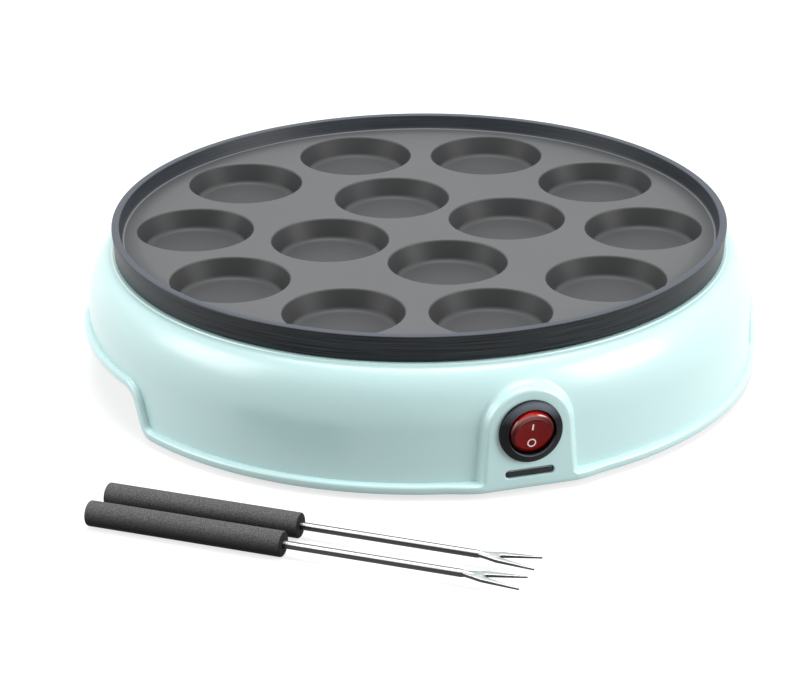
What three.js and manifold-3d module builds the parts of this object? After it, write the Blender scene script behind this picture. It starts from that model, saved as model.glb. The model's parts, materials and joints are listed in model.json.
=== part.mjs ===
// Mini pancake maker: a round hotplate with fourteen pits on a plastic base, and its two forks.
// Lengths are millimetres and angles are degrees. +Z is up and the switch faces -Y.
// The origin is the centre of the bottom cover's underside, on the maker's own axis.

import * as THREE from "three";
import { mergeVertices } from "three/addons/utils/BufferGeometryUtils.js";
import Module from "manifold-3d";

const wasm = await Module();
wasm.setup();

// Whole maker
const overallHeight = 57;
const standHeight = 4;
const tableZ = -standHeight;
const rimTopZ = overallHeight - standHeight;

// Clearances: between pieces that rest on each other, and past a face that a cutter leaves by
const seatGap = 0.3;
const overrun = 2;

// Facets round a full turn
const rimSides = 60;
const pitSides = 14;
const shieldSides = 32;
const postSides = 12;
const smallSides = 8;
const wireSides = 6;

// Cooking plate: a casting with a raised rim and a shallow tray
const plateRadius = 114.8;
const rimHeight = 9.8;
const rimDraft = 0.9;
const lipWidth = 2.8;
const lipChamfer = 0.4;
const rimFootWidth = 3.3;
const rimWall = 3.8;
const trayDepth = 5.4;
const trayEdgeRise = 1;
const trayCove = 1.6;
const trayFloor = 3.4;
const trayEdgeRadius = plateRadius - rimWall;
const plateFootRadius = plateRadius - rimDraft;
const plateFootZ = rimTopZ - rimHeight;
const trayZ = rimTopZ - trayDepth;
const trayUnderZ = trayZ - trayFloor;

// Pits, in an outer and an inner ring that both start at the switch; shares are of the plate's radius
const outerPits = 10;
const outerPitRingShare = 0.7309;
const innerPits = 4;
const innerPitRingShare = 0.3023;
const pitShare = 0.1934;
const pitFootShare = 0.1585;
const outerPitRing = outerPitRingShare * plateRadius;
const innerPitRing = innerPitRingShare * plateRadius;
const pitRadius = pitShare * plateRadius;
const pitFootRadius = pitFootShare * plateRadius;
const pitDepth = 7.5;
const pitEdge = 0.9;
const pitCorner = 1.2;
const pitWall = 2.6;
const frontAngle = -90;
const pitFloorZ = trayZ - pitDepth;
const pitUnderZ = pitFloorZ - pitWall;

// Screws: one cross section, with its own length where it is used
const screwRadius = 1.8;
const screwHeadRadius = 3.7;
const screwHeadHeight = 2.2;
const screwPlay = 0.3;
const screwHole = screwRadius + screwPlay;
const screwLong = 12;
const screwShort = 8;
const screwTipRoom = 1.5;
const bossRadius = 4.6;

// Housing shell
const wall = 2.2;
const skirtReach = 9.4;
const shoulderRun = 9.2;
const shoulderDrop = 21.7;
const ledgeBearing = 5.3;
const housingRadius = plateRadius + skirtReach;
const shoulderRadius = housingRadius - shoulderRun;
const ledgeRadius = plateFootRadius - ledgeBearing;
const ledgeTopZ = plateFootZ - seatGap;
const shoulderZ = ledgeTopZ - shoulderDrop;
const housingInnerRadius = housingRadius - wall;
const shoulderSteps = 3;
const shoulderInnerSteps = 2;

// Rolled bead round the housing's lower edge
const beadProud = 2.2;
const beadHeight = 3.5;
const beadLift = 2.5;
const beadSides = 6;
const beadZ = tableZ + beadLift + beadHeight / 2;

// Grip notches in the lower edge, left and right
const notchRise = 16.1;
const notchHalfTop = 38.6;
const notchHalfFoot = 44.8;
const notchTopRound = 6.4;
const notchFootRound = 5.4;
const notchZ = beadZ + notchRise;
const notchReach = notchHalfFoot + notchFootRound;
const notchSteps = 36;
const notchCurveSteps = 5;
const notchJoin = 3;

// Switch panel: a flat arched face on the front wall
const panelProud = 2.3;
const panelY = -(housingRadius + panelProud);
const panelFace = 2.4;
const panelDepth = 9;
const panelArchRadius = 15.7;
const panelFootHalf = 17.3;
const panelArchSteps = 10;
const panelFootZ = beadZ - beadHeight / 2;
const panelSillZ = 1;

// Bottom cover
const coverThickness = 2.2;
const coverPlay = 0.5;
const coverRadius = housingInnerRadius - coverPlay;
const ventCount = 16;
const ventInset = 69.5;
const ventInner = coverRadius - ventInset;
const ventLength = 17;
const ventWidth = 3;

// Finger pockets that the cover carries behind the notches
const pocketRise = 5.65;
const pocketReach = 19.2;
const pocketHalfAngle = 21;
const pocketWall = 2;
const pocketSteps = 8;
const pocketRoofZ = notchZ + pocketRise;
const pocketInnerRadius = housingRadius - pocketReach;
const pocketWallAngle = THREE.MathUtils.radToDeg(pocketWall / pocketInnerRadius);

// Cover screws, in posts that hang from the ledge
const coverScrewAngles = [-118, -62, 62, 118];
const postInset = 12.2;
const postRing = housingRadius - postInset;
const postFootZ = coverThickness + seatGap;
const postBore = screwLong - coverThickness + screwTipRoom;
const postRib = 2.4;

// Rubber feet, pushed into the cover
const footAngles = [-135, -45, 45, 135];
const footInset = 11.7;
const footRing = housingRadius - footInset;
const footRadius = 7;
const footSoleRadius = 6;
const footNeckRadius = 2.8;
const footBarbRadius = 3.9;
const footBarbHeight = 2.6;
const footTipRadius = 2;

// Lugs inside the housing that carry the shield and the plate's bosses
const lugAngles = [-144, -36, 36, 144];
const lugReach = 24;
const lugDrop = 23.5;
const lugThickness = 2.4;
const lugHalfWidth = 6;
const lugGussetDrop = 17.5;
const lugGusset = 2.4;
const plateBossBore = 9;
const lugRing = housingInnerRadius - lugReach;
const lugTopZ = rimTopZ - lugDrop;
const lugGussetFootZ = lugTopZ - lugGussetDrop;

// Heat shield: a pressed dish under the element
const shieldSheet = 0.8;
const shieldFlangeWidth = 13;
const shieldSlope = 9;
const shieldDrop = 8;
const shieldHole = 12;
const shieldRadius = lugRing + lugHalfWidth;
const shieldFlangeInner = shieldRadius - shieldFlangeWidth;
const shieldPanRadius = shieldFlangeInner - shieldSlope;
const shieldFlangeZ = lugTopZ + seatGap;
const plateBossZ = shieldFlangeZ + shieldSheet + seatGap;
const shieldPanZ = shieldFlangeZ - shieldDrop;

// Tubular heating element, pressed on a cast seat between the two rings of pits
const elementRing = (innerPitRing + outerPitRing) / 2;
const elementRadius = 3.3;
const elementSeatHalf = 4;
const elementSides = 8;
const elementSteps = 48;
const elementArcPoints = 30;
const elementGapAngle = 11;
const elementBend = 6;
const elementFootDrop = 3.8;
const elementFootZ = shieldPanZ - elementFootDrop;
const elementZ = pitUnderZ - seatGap - elementRadius;
const elementPassHole = 5;
const rearAngle = 90;

// Cold pins at the element's ends
const pinRadius = 1.3;
const pinLength = 8;
const pinBeadRadius = 2.8;
const pinBeadHeight = 2.4;

// Clamps that hold the element up against its seat
const clampAngles = [-108, 36, 144];
const clampScrewOffset = 10.7;
const clampInnerReach = 4.8;
const clampOuterReach = 15.7;
const clampSheet = 1;
const clampHalfWidth = 6;
const clampRing = elementRing + clampScrewOffset;
const clampInner = elementRing - clampInnerReach;
const clampOuter = elementRing + clampOuterReach;
const clampTopZ = elementZ - elementRadius - seatGap;
const clampBossZ = clampTopZ + seatGap;
const clampBore = 8.5;

// Thermostat, on a pad at the plate's centre
const sensorPadRadius = 9;
const sensorPadProud = 1;
const sensorPadZ = pitUnderZ - sensorPadProud;
const capRadius = 9;
const capHeight = 1.5;
const thermostatRadius = 7.6;
const thermostatHeight = 9.2;
const tabWidth = 5;
const tabThickness = 0.8;
const tabLength = 8;
const tabOffset = 4.5;
const capTopZ = sensorPadZ - seatGap;
const thermostatFootZ = capTopZ - capHeight - thermostatHeight;
const tabFootZ = thermostatFootZ - tabLength;

// Strap that carries the thermostat, on two bosses across a diagonal
const strapAngles = [45, 225];
const strapRing = 20;
const strapSheet = 0.8;
const strapHalfWidth = 3.6;
const strapEyeRadius = 10.6;
const strapTopZ = capTopZ - capHeight - seatGap;
const strapBossZ = strapTopZ + seatGap;
const strapEnd = 24.5;
const strapBore = 8;

// Thermal fuse and its clip, under the shield
const fuseX = 12;
const fuseInset = 28.3;
const fuseY = elementRing - fuseInset;
const fuseHalfLength = 7;
const fuseRadius = 2;
const fuseZ = shieldPanZ - seatGap - fuseRadius;
const clipSheet = 0.7;
const clipHalfWidth = 3;
const clipEar = 8.4;
const clipScrewOffset = 7.2;
const clipSides = 6;

// Round rocker switch; depths are measured outwards from the panel's face
const switchDrop = 32.8;
const switchZ = rimTopZ - switchDrop;
const bezelRadius = 11.5;
const bezelProud = 2.5;
const bezelStep = 1.2;
const bezelRound = 0.6;
const switchRadius = 9.8;
const switchHole = 10.1;
const switchDepth = 20;
const switchWellRadius = 8.7;
const switchWellDepth = 9;
const switchChamberRadius = 6.6;
const switchBack = 2.5;
const switchSides = 24;

// Rocker, hinged across the bezel; at rest its lower half is pressed in, which is off
const rockerSwing = 24;
const rockerHalfSwing = rockerSwing / 2;
const rockerRadius = 8.3;
const rockerEdgeRise = 5;
const rockerDish = 0.7;
const rockerDishSteps = 3;
const rockerPivot = 0.7;
const rockerDepth = 5.5;
const rockerSkin = 1.4;
const rockerCavityRadius = 6.8;
const rockerPinRadius = 0.9;
const rockerPinReach = 9.2;
const rockerPinHole = 1.2;
const rockerPinHoleReach = 9.5;
const rockerStemRadius = 2;
const rockerStemFoot = 7;
const rockerSphereRings = 8;

// Spring-loaded plunger under the rocker, and the contact arm that it tips
const plungerRadius = 0.9;
const plungerReach = 10;
const plungerBore = 1.2;
const plungerTop = 4;
const armSwing = rockerSwing / 2;
const armHalfSwing = armSwing / 2;
const armDepth = 9.9;
const armThickness = 0.8;
const armHalfLength = 5.2;
const armHalfWidth = 2;

// Blades of the switch
const bladeHalfWidth = 2.4;
const bladeThickness = 0.8;
const bladeReach = 28;
const bladeSpread = 4.6;
const bladeSlotPlay = 0.3;
const bladeContactGap = 0.1;
const lampBladeBack = 3;
const armRise = bladeSpread * Math.tan(THREE.MathUtils.degToRad(armHalfSwing));
const commonBladeTop = armDepth + armThickness / 2 + seatGap;
const loadBladeTop = commonBladeTop + armRise + bladeContactGap;
const lampBladeTop = commonBladeTop + lampBladeBack;

// Small lamp inside the rocker
const rockerLampRadius = 1.3;
const rockerLampHalf = 2.3;
const rockerLampUp = 4.2;
const rockerLampDepth = 2.3;

// Pilot lens in the slot under the switch, and the lamp behind it
const lensDrop = 48.7;
const lensZ = rimTopZ - lensDrop;
const slotHalfLength = 8.9;
const slotHalfHeight = 1.5;
const lensPlay = 0.25;
const lensProud = 0.3;
const lensFlange = 1.4;
const lensFlangeHeight = 1.2;
const lensEndSteps = 5;
const pilotLampRadius = 1.7;
const pilotLampHalf = 6;
const lensFlangeBack = panelFace + seatGap + lensFlange;
const pilotLampDepth = lensFlangeBack + seatGap + pilotLampRadius;

// Cord gland in the rear wall; the cord itself is not part of the model
const glandZ = 13;
const glandBore = 3.3;
const glandNeckRadius = 5.2;
const glandHole = 5.5;
const glandFlangeRadius = 7.5;
const glandFlange = 2;
const glandTail = 12;
const glandTailRadius = 4.6;
const glandCollar = 2;
const glandSag = housingInnerRadius - Math.sqrt(housingInnerRadius ** 2 - glandFlangeRadius ** 2);
const glandInner = -wall - seatGap - glandSag;

// Terminal block on a boss of the cover
const blockInset = 40.2;
const blockY = housingRadius - blockInset;
const blockHalfX = 13;
const blockHalfY = 7;
const blockHeight = 10;
const blockBossTop = 7;
const blockFootZ = blockBossTop + seatGap;
const blockPoleZ = blockFootZ + blockHeight / 2;
const blockFaceY = blockY - blockHalfY;
const blockLampPole = -10;
const blockNeutralPole = -6;
const blockLivePole = 8;
const blockPoleHole = 1.6;
const blockPoleDepth = 4;

// Internal leads, and the places that they pass as shares of the plate's radius, to the right and to the rear
const leadRadius = 1.2;
const leadSteps = 10;
const leadLift = 1;
const leadLowZ = coverThickness + seatGap + leadRadius + leadLift;
const leadMidZ = 8;
const leadDip = 4;
const liveShares = [[0.23, 0.5], [0.3, 0], [0.16, -0.6]];
const switchedShares = [[-0.07, -0.66], [-0.12, -0.3]];
const limiterShares = [0.09, 0.11];
const elementLeadShares = [0.11, 0.45];
const neutralShares = [-0.085, 0.56];
const rockerLampShares = [[-0.24, 0.5], [-0.32, 0], [-0.2, -0.62]];
const pilotLiveShares = [0.11, -0.93];
const pilotNeutralShares = [[-0.12, -0.93], [-0.12, -0.9]];

// Earth tag on the shield
const earthInset = 21;
const earthY = blockY - earthInset;
const tagRadius = 3.6;
const tagSheet = 0.7;
const tagTongue = 7;
const tagHalfWidth = 1.5;

// Forks that lie on the table in front of the maker
const forkLength = 155.6;
const forkHandleLength = 71.6;
const forkHandleRadius = 4.45;
const forkHandleRound = 0.8;
const forkSocketDepth = 18;
const forkRodRadius = 1.4;
const forkTineLength = 14;
const forkNeckLength = 7;
const forkHalfWidth = 4.6;
const forkRootHalf = 3.1;
const forkSlotHalf = 0.9;
const forkTineThickness = 1.2;
const forkTipWidth = 0.4;
const forkHeading = -37.46;
const forkLift = 0.05;
const forkEnds = { fork_front: [-150.3, -101.9], fork_rear: [-141.1, -90.4] };

const rad = THREE.MathUtils.degToRad;
const quarterTurn = Math.PI / 2;

// Finishes
function finish(color, roughness, metalness) {
  return new THREE.MeshStandardMaterial({ color, roughness, metalness });
}

const nonstick = finish(0x3d3d40, 0.5, 0.2);
const mintPlastic = finish(0xbfe6e1, 0.35, 0);
const coverPlastic = finish(0xa9d2cd, 0.5, 0);
const blackRubber = finish(0x1b1b1c, 0.85, 0);
const blackPlastic = finish(0x141415, 0.35, 0);
const redPlastic = finish(0xa8150f, 0.2, 0);
const smokedLens = finish(0x18181a, 0.1, 0);
const steel = finish(0xb9bcc0, 0.3, 1);
const shieldSteel = finish(0xc4c6c8, 0.4, 0.9);
const sheathSteel = finish(0x6a6c6e, 0.5, 0.9);
const brass = finish(0xc9a552, 0.35, 1);
const ceramic = finish(0xe8e4da, 0.6, 0);
const lampGlass = finish(0xe6b8a0, 0.1, 0);
const forkGrip = finish(0x3a3b3d, 0.9, 0);
const leadCover = finish(0xd9d6cf, 0.6, 0);
const leadBrown = finish(0x6b3f25, 0.6, 0);
const leadBlue = finish(0x2a5fa8, 0.6, 0);
const leadGreen = finish(0x5c9a35, 0.6, 0);

// A closed geometry as a solid that can be joined and cut
function solid(geometry) {
  const bare = geometry.clone();
  bare.deleteAttribute("normal");
  bare.deleteAttribute("uv");
  const merged = mergeVertices(bare);
  return new wasm.Manifold(new wasm.Mesh({
    numProp: 3,
    vertProperties: new Float32Array(merged.attributes.position.array),
    triVerts: new Uint32Array(merged.index.array),
  }));
}

// A solid as a geometry for a mesh
function geometryOf(shape) {
  const mesh = shape.getMesh();
  const geometry = new THREE.BufferGeometry();
  geometry.setAttribute("position", new THREE.BufferAttribute(new Float32Array(mesh.vertProperties), 3));
  geometry.setIndex(new THREE.BufferAttribute(new Uint32Array(mesh.triVerts), 1));
  geometry.computeVertexNormals();
  return geometry;
}

const joined = (shapes) => shapes.reduce((sum, shape) => sum.add(shape));
const cutBy = (shape, cutters) => shape.subtract(joined(cutters));

// A round piece on the Z axis, from [radius, z] points that go up its outside
function turned(profile, sides) {
  const points = profile.map(([radius, z]) => new THREE.Vector2(radius, z));
  return new THREE.LatheGeometry(points, sides).rotateX(quarterTurn);
}

// A ring on the Z axis, from [radius, z] points that close on themselves
function turnedRing(profile, sides) {
  return turned([...profile, profile[0]], sides);
}

function rod(radius, footZ, topZ, sides) {
  return turned([[0, footZ], [radius, footZ], [radius, topZ], [0, topZ]], sides);
}

function bar(xs, ys, zs) {
  const box = new THREE.BoxGeometry(xs[1] - xs[0], ys[1] - ys[0], zs[1] - zs[0]);
  return box.translate((xs[0] + xs[1]) / 2, (ys[0] + ys[1]) / 2, (zs[0] + zs[1]) / 2);
}

// An outline of [x, y] points, drawn up from one height to another
function prism(outline, footZ, topZ) {
  const shape = new THREE.Shape(outline.map(([x, y]) => new THREE.Vector2(x, y)));
  const geometry = new THREE.ExtrudeGeometry(shape, { depth: topZ - footZ, bevelEnabled: false });
  return geometry.translate(0, 0, footZ);
}

// A length of round stock along a smooth route
function wire(route, radius, sides, steps) {
  const section = new THREE.Shape();
  section.absarc(0, 0, radius, 0, 2 * Math.PI);
  const extrudePath = new THREE.CatmullRomCurve3(route, false, "centripetal");
  const curveSegments = sides / 2;
  return new THREE.ExtrudeGeometry(section, { steps, curveSegments, extrudePath, bevelEnabled: false });
}

function onCircle(radius, angle, z = 0) {
  return new THREE.Vector3(radius * Math.cos(rad(angle)), radius * Math.sin(rad(angle)), z);
}

const around = (geometry, angle) => geometry.clone().rotateZ(rad(angle));
const atRing = (geometry, radius, angle) => around(geometry.clone().translate(radius, 0, 0), angle);

// Local axes that look at the panel: x stays, y goes up and z comes out of the panel
const outward = (geometry) => geometry.clone().rotateX(quarterTurn);

const maker = new THREE.Group();

function addPart(name, geometry, material, parent = maker) {
  const mesh = new THREE.Mesh(geometry, material);
  mesh.name = name;
  parent.add(mesh);
  return mesh;
}

// One screw with its head's bearing face at z = 0, pointing up
function screwGeometry(length) {
  return turned([
    [0, -screwHeadHeight],
    [screwHeadRadius, -screwHeadHeight],
    [screwHeadRadius, 0],
    [screwRadius, 0],
    [screwRadius, length],
    [0, length],
  ], smallSides);
}

function pitCentres() {
  const ring = (count, radius) => Array.from({ length: count }, (_, index) => (
    onCircle(radius, frontAngle + (360 * index) / count)
  ));
  return [...ring(outerPits, outerPitRing), ...ring(innerPits, innerPitRing)];
}

function cookingPlate() {
  const disc = solid(turned([
    [0, trayUnderZ],
    [plateFootRadius - rimFootWidth, trayUnderZ],
    [plateFootRadius - rimFootWidth, plateFootZ],
    [plateFootRadius, plateFootZ],
    [plateRadius, rimTopZ - lipChamfer],
    [plateRadius - lipChamfer, rimTopZ],
    [plateRadius - lipWidth, rimTopZ],
    [trayEdgeRadius, trayZ + trayEdgeRise],
    [trayEdgeRadius - trayCove, trayZ],
    [0, trayZ],
  ], rimSides));
  const cup = turned([
    [0, pitUnderZ],
    [pitFootRadius + pitWall - pitCorner, pitUnderZ],
    [pitFootRadius + pitWall, pitUnderZ + pitCorner],
    [pitRadius + pitWall - pitEdge, trayZ - trayFloor / 2],
    [0, trayZ - trayFloor / 2],
  ], pitSides);
  const hollow = turned([
    [0, pitFloorZ],
    [pitFootRadius - pitCorner, pitFloorZ],
    [pitFootRadius, pitFloorZ + pitCorner],
    [pitRadius - pitEdge, trayZ - pitEdge],
    [pitRadius, trayZ],
    [pitRadius, trayZ + overrun],
    [0, trayZ + overrun],
  ], pitSides);
  const seat = turnedRing([
    [elementRing - elementSeatHalf, pitUnderZ],
    [elementRing + elementSeatHalf, pitUnderZ],
    [elementRing + elementSeatHalf, trayZ - trayFloor / 2],
    [elementRing - elementSeatHalf, trayZ - trayFloor / 2],
  ], rimSides);
  const boss = (footZ) => rod(bossRadius, footZ, trayZ - trayFloor / 2, postSides);
  const bosses = [
    ...lugAngles.map((angle) => atRing(boss(plateBossZ), lugRing, angle)),
    ...clampAngles.map((angle) => atRing(boss(clampBossZ), clampRing, angle)),
    ...strapAngles.map((angle) => atRing(boss(strapBossZ), strapRing, angle)),
    rod(sensorPadRadius, sensorPadZ, trayZ - trayFloor / 2, postSides),
  ];
  const bore = (footZ, depth) => rod(screwHole, footZ - overrun, footZ + depth, smallSides);
  const bores = [
    ...lugAngles.map((angle) => atRing(bore(plateBossZ, plateBossBore), lugRing, angle)),
    ...clampAngles.map((angle) => atRing(bore(clampBossZ, clampBore), clampRing, angle)),
    ...strapAngles.map((angle) => atRing(bore(strapBossZ, strapBore), strapRing, angle)),
  ];
  const cups = pitCentres().map((centre) => solid(cup.clone().translate(centre.x, centre.y, 0)));
  const hollows = pitCentres().map((centre) => solid(hollow.clone().translate(centre.x, centre.y, 0)));
  const casting = joined([disc, solid(seat), ...cups, ...bosses.map(solid)]);
  return cutBy(casting, [...hollows, ...bores.map(solid)]);
}

// The lower edge across a notch, as [sideways, z] points from one side to the other
function notchOutline(footZ, topZ) {
  const corner = new THREE.Vector2(notchHalfTop, topZ);
  const foot = new THREE.Vector2(notchHalfFoot, footZ);
  const side = foot.clone().sub(corner).normalize();
  const afterCorner = corner.clone().addScaledVector(side, notchTopRound);
  const beforeFoot = foot.clone().addScaledVector(side, -notchFootRound);
  const half = new THREE.Path();
  half.moveTo(0, topZ);
  half.lineTo(corner.x - notchTopRound, topZ);
  half.quadraticCurveTo(corner.x, corner.y, afterCorner.x, afterCorner.y);
  half.lineTo(beforeFoot.x, beforeFoot.y);
  half.quadraticCurveTo(foot.x, foot.y, foot.x + notchFootRound, footZ);
  const right = half.getPoints(notchCurveSteps).map((point) => [point.x, point.y]);
  const left = right.slice(1).reverse().map(([sideways, z]) => [-sideways, z]);
  return [...left, ...right];
}

// The bead's cross section is an ellipse that stands half out of the wall
function beadSection() {
  return Array.from({ length: beadSides }, (_, index) => {
    const angle = (2 * Math.PI * (index + 1 / 2)) / beadSides;
    const reach = 1 / Math.cos(Math.PI / beadSides);
    return [beadProud * reach * Math.cos(angle), (beadHeight / 2) * reach * Math.sin(angle)];
  });
}

function bead() {
  const ringSection = beadSection().map(([out, up]) => [housingRadius + out, beadZ + up]);
  const ring = solid(turnedRing(ringSection, rimSides));
  const notchGap = bar(
    [-housingRadius - 2 * beadProud, housingRadius + 2 * beadProud],
    [-notchReach, notchReach],
    [beadZ - beadHeight, beadZ + beadHeight],
  );
  const onWall = ([sideways, z]) => {
    const angle = Math.asin(sideways / housingRadius);
    return new THREE.Vector3(housingRadius * Math.cos(angle), housingRadius * Math.sin(angle), z);
  };
  const edge = notchOutline(beadZ, notchZ);
  const route = [[-notchReach - notchJoin, beadZ], ...edge, [notchReach + notchJoin, beadZ]].map(onWall);
  const section = new THREE.Shape(beadSection().map(([out, up]) => new THREE.Vector2(out, up)));
  const extrudePath = new THREE.CatmullRomCurve3(route, false, "centripetal");
  const run = new THREE.ExtrudeGeometry(section, { steps: notchSteps, extrudePath, bevelEnabled: false });
  return joined([cutBy(ring, [solid(notchGap)]), solid(run), solid(around(run, 180))]);
}

function housingShell() {
  const outer = new THREE.Path();
  outer.absellipse(shoulderRadius, shoulderZ, housingRadius - shoulderRadius, shoulderDrop, 0, quarterTurn);
  const inner = new THREE.Path();
  inner.absellipse(
    shoulderRadius, shoulderZ, housingInnerRadius - shoulderRadius, shoulderDrop - wall, 0, quarterTurn,
  );
  const outerPoints = outer.getPoints(shoulderSteps).map((point) => [point.x, point.y]);
  const innerPoints = inner.getPoints(shoulderInnerSteps).map((point) => [point.x, point.y]).reverse();
  return solid(turnedRing([
    [housingInnerRadius, beadZ],
    [housingRadius, beadZ],
    ...outerPoints,
    [ledgeRadius, ledgeTopZ],
    [ledgeRadius, ledgeTopZ - wall],
    ...innerPoints,
  ], rimSides));
}

// The arched outline of the panel, drawn in or out by an inset
function panelOutline(inset, footZ) {
  const arch = Array.from({ length: panelArchSteps + 1 }, (_, index) => {
    const angle = (Math.PI * index) / panelArchSteps;
    const radius = panelArchRadius - inset;
    return [radius * Math.cos(angle), switchZ + radius * Math.sin(angle)];
  });
  return [[panelFootHalf - inset, footZ], ...arch, [inset - panelFootHalf, footZ]];
}

function slotOutline(inset) {
  const radius = slotHalfHeight - inset;
  const centre = slotHalfLength - slotHalfHeight;
  const end = (side) => Array.from({ length: lensEndSteps }, (_, index) => {
    const angle = -quarterTurn + (Math.PI * index) / (lensEndSteps - 1);
    return [side * (centre + radius * Math.cos(angle)), side * radius * Math.sin(angle)];
  });
  return [...end(1), ...end(-1)];
}

function housing() {
  const block = outward(prism(panelOutline(0, panelFootZ), -panelDepth, 0)).translate(0, panelY, 0);
  const coverRoom = rod(housingInnerRadius, panelFootZ - overrun, coverThickness + seatGap, rimSides);
  const pocket = outward(prism(panelOutline(wall, panelSillZ), -panelDepth - overrun, -panelFace));
  const switchCut = outward(rod(switchHole, -panelDepth, overrun, switchSides)).translate(0, panelY, switchZ);
  const slotCut = outward(prism(slotOutline(0), -panelDepth, overrun)).translate(0, panelY, lensZ);
  const glandCut = outward(rod(glandHole, -overrun, wall + overrun, postSides));
  const notchArea = notchOutline(beadZ - overrun, notchZ);
  const sideways = new THREE.Matrix4().makeBasis(
    new THREE.Vector3(0, 1, 0), new THREE.Vector3(0, 0, 1), new THREE.Vector3(1, 0, 0),
  );
  const notchCut = prism(notchArea, -housingRadius - overrun, housingRadius + overrun).applyMatrix4(sideways);
  const posts = coverScrewAngles.map((angle) => atRing(
    rod(bossRadius, postFootZ, ledgeTopZ - wall / 2, postSides), postRing, angle,
  ));
  const ribWidth = [-postRib / 2, postRib / 2];
  const rib = bar([postRing, housingInnerRadius + wall / 2], ribWidth, [postFootZ, shoulderZ]);
  const ribs = coverScrewAngles.map((angle) => around(rib, angle));
  const bores = coverScrewAngles.map((angle) => atRing(
    rod(screwHole, postFootZ - overrun, postFootZ + postBore, smallSides), postRing, angle,
  ));
  const lugs = lugAngles.map((angle) => around(bar(
    [lugRing - lugHalfWidth, housingInnerRadius + wall / 4],
    [-lugHalfWidth, lugHalfWidth],
    [lugTopZ - lugThickness, lugTopZ],
  ), angle));
  const gusset = prism([
    [lugRing + lugHalfWidth, lugTopZ - lugThickness / 2],
    [housingInnerRadius + wall / 2, lugGussetFootZ],
    [housingInnerRadius + wall / 2, lugTopZ - lugThickness / 2],
  ], -lugGusset / 2, lugGusset / 2).rotateX(quarterTurn);
  const gussets = lugAngles.map((angle) => around(gusset, angle));
  const lugHoles = lugAngles.map((angle) => atRing(
    rod(screwHole, lugTopZ - lugThickness - overrun, lugTopZ + overrun, smallSides), lugRing, angle,
  ));
  const body = joined([
    cutBy(housingShell(), [solid(notchCut)]),
    bead(),
    cutBy(solid(block), [solid(coverRoom)]),
    ...[...posts, ...ribs, ...lugs, ...gussets].map(solid),
  ]);
  return cutBy(body, [
    solid(pocket.translate(0, panelY, 0)),
    solid(switchCut),
    solid(slotCut),
    solid(glandCut.translate(0, housingRadius, glandZ)),
    ...bores.map(solid),
    ...lugHoles.map(solid),
  ]);
}

// A curved block on the cover's rim, between two radii and up to a height
function sector(innerRadius, outerRadius, halfAngle, footZ, topZ) {
  const arc = (radius) => Array.from({ length: pocketSteps + 1 }, (_, index) => {
    const point = onCircle(radius, -halfAngle + (2 * halfAngle * index) / pocketSteps);
    return [point.x, point.y];
  });
  return prism([...arc(outerRadius), ...arc(innerRadius).reverse()], footZ, topZ);
}

function bottomCover() {
  const disc = rod(coverRadius, 0, coverThickness, rimSides);
  const boxHalfAngle = pocketHalfAngle + pocketWallAngle;
  const boxTopZ = pocketRoofZ + pocketWall;
  const pocket = sector(pocketInnerRadius - pocketWall, coverRadius, boxHalfAngle, 0, boxTopZ);
  const hollow = sector(pocketInnerRadius, coverRadius + overrun, pocketHalfAngle, -overrun, pocketRoofZ);
  const pair = (geometry) => [geometry, around(geometry, 180)];
  const vent = bar(
    [ventInner, ventInner + ventLength],
    [-ventWidth / 2, ventWidth / 2],
    [-overrun, coverThickness + overrun],
  );
  const vents = Array.from({ length: ventCount }, (_, index) => (
    around(vent, (360 * (index + 1 / 2)) / ventCount)
  ));
  const hole = (radius) => rod(radius, -overrun, coverThickness + overrun, smallSides);
  const screwHoles = coverScrewAngles.map((angle) => atRing(hole(screwHole), postRing, angle));
  const footHoles = footAngles.map((angle) => atRing(hole(footNeckRadius + seatGap), footRing, angle));
  const boss = rod(bossRadius, coverThickness / 2, blockBossTop, postSides).translate(0, blockY, 0);
  const bossBore = rod(screwHole, coverThickness, blockBossTop + overrun, smallSides).translate(0, blockY, 0);
  const body = joined([disc, ...pair(pocket), boss].map(solid));
  return cutBy(body, [...pair(hollow), ...vents, ...screwHoles, ...footHoles, bossBore].map(solid));
}

function heatShield() {
  const top = (z) => z + shieldSheet;
  const dish = turnedRing([
    [shieldHole, shieldPanZ],
    [shieldPanRadius, shieldPanZ],
    [shieldFlangeInner, shieldFlangeZ],
    [shieldRadius, shieldFlangeZ],
    [shieldRadius, top(shieldFlangeZ)],
    [shieldFlangeInner - shieldSheet, top(shieldFlangeZ)],
    [shieldPanRadius - shieldSheet, top(shieldPanZ)],
    [shieldHole, top(shieldPanZ)],
  ], shieldSides);
  const hole = (radius, z) => rod(radius, z - overrun, z + shieldSheet + overrun, smallSides);
  const elementHole = (side) => atRing(
    hole(elementPassHole, shieldPanZ), elementRing, rearAngle + side * elementGapAngle,
  );
  return cutBy(solid(dish), [
    ...lugAngles.map((angle) => atRing(hole(screwHole, shieldFlangeZ), lugRing, angle)),
    elementHole(-1),
    elementHole(1),
    hole(screwHole, shieldPanZ).translate(fuseX + clipScrewOffset, fuseY, 0),
    hole(screwHole, shieldPanZ).translate(0, earthY, 0),
  ].map(solid));
}

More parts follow.
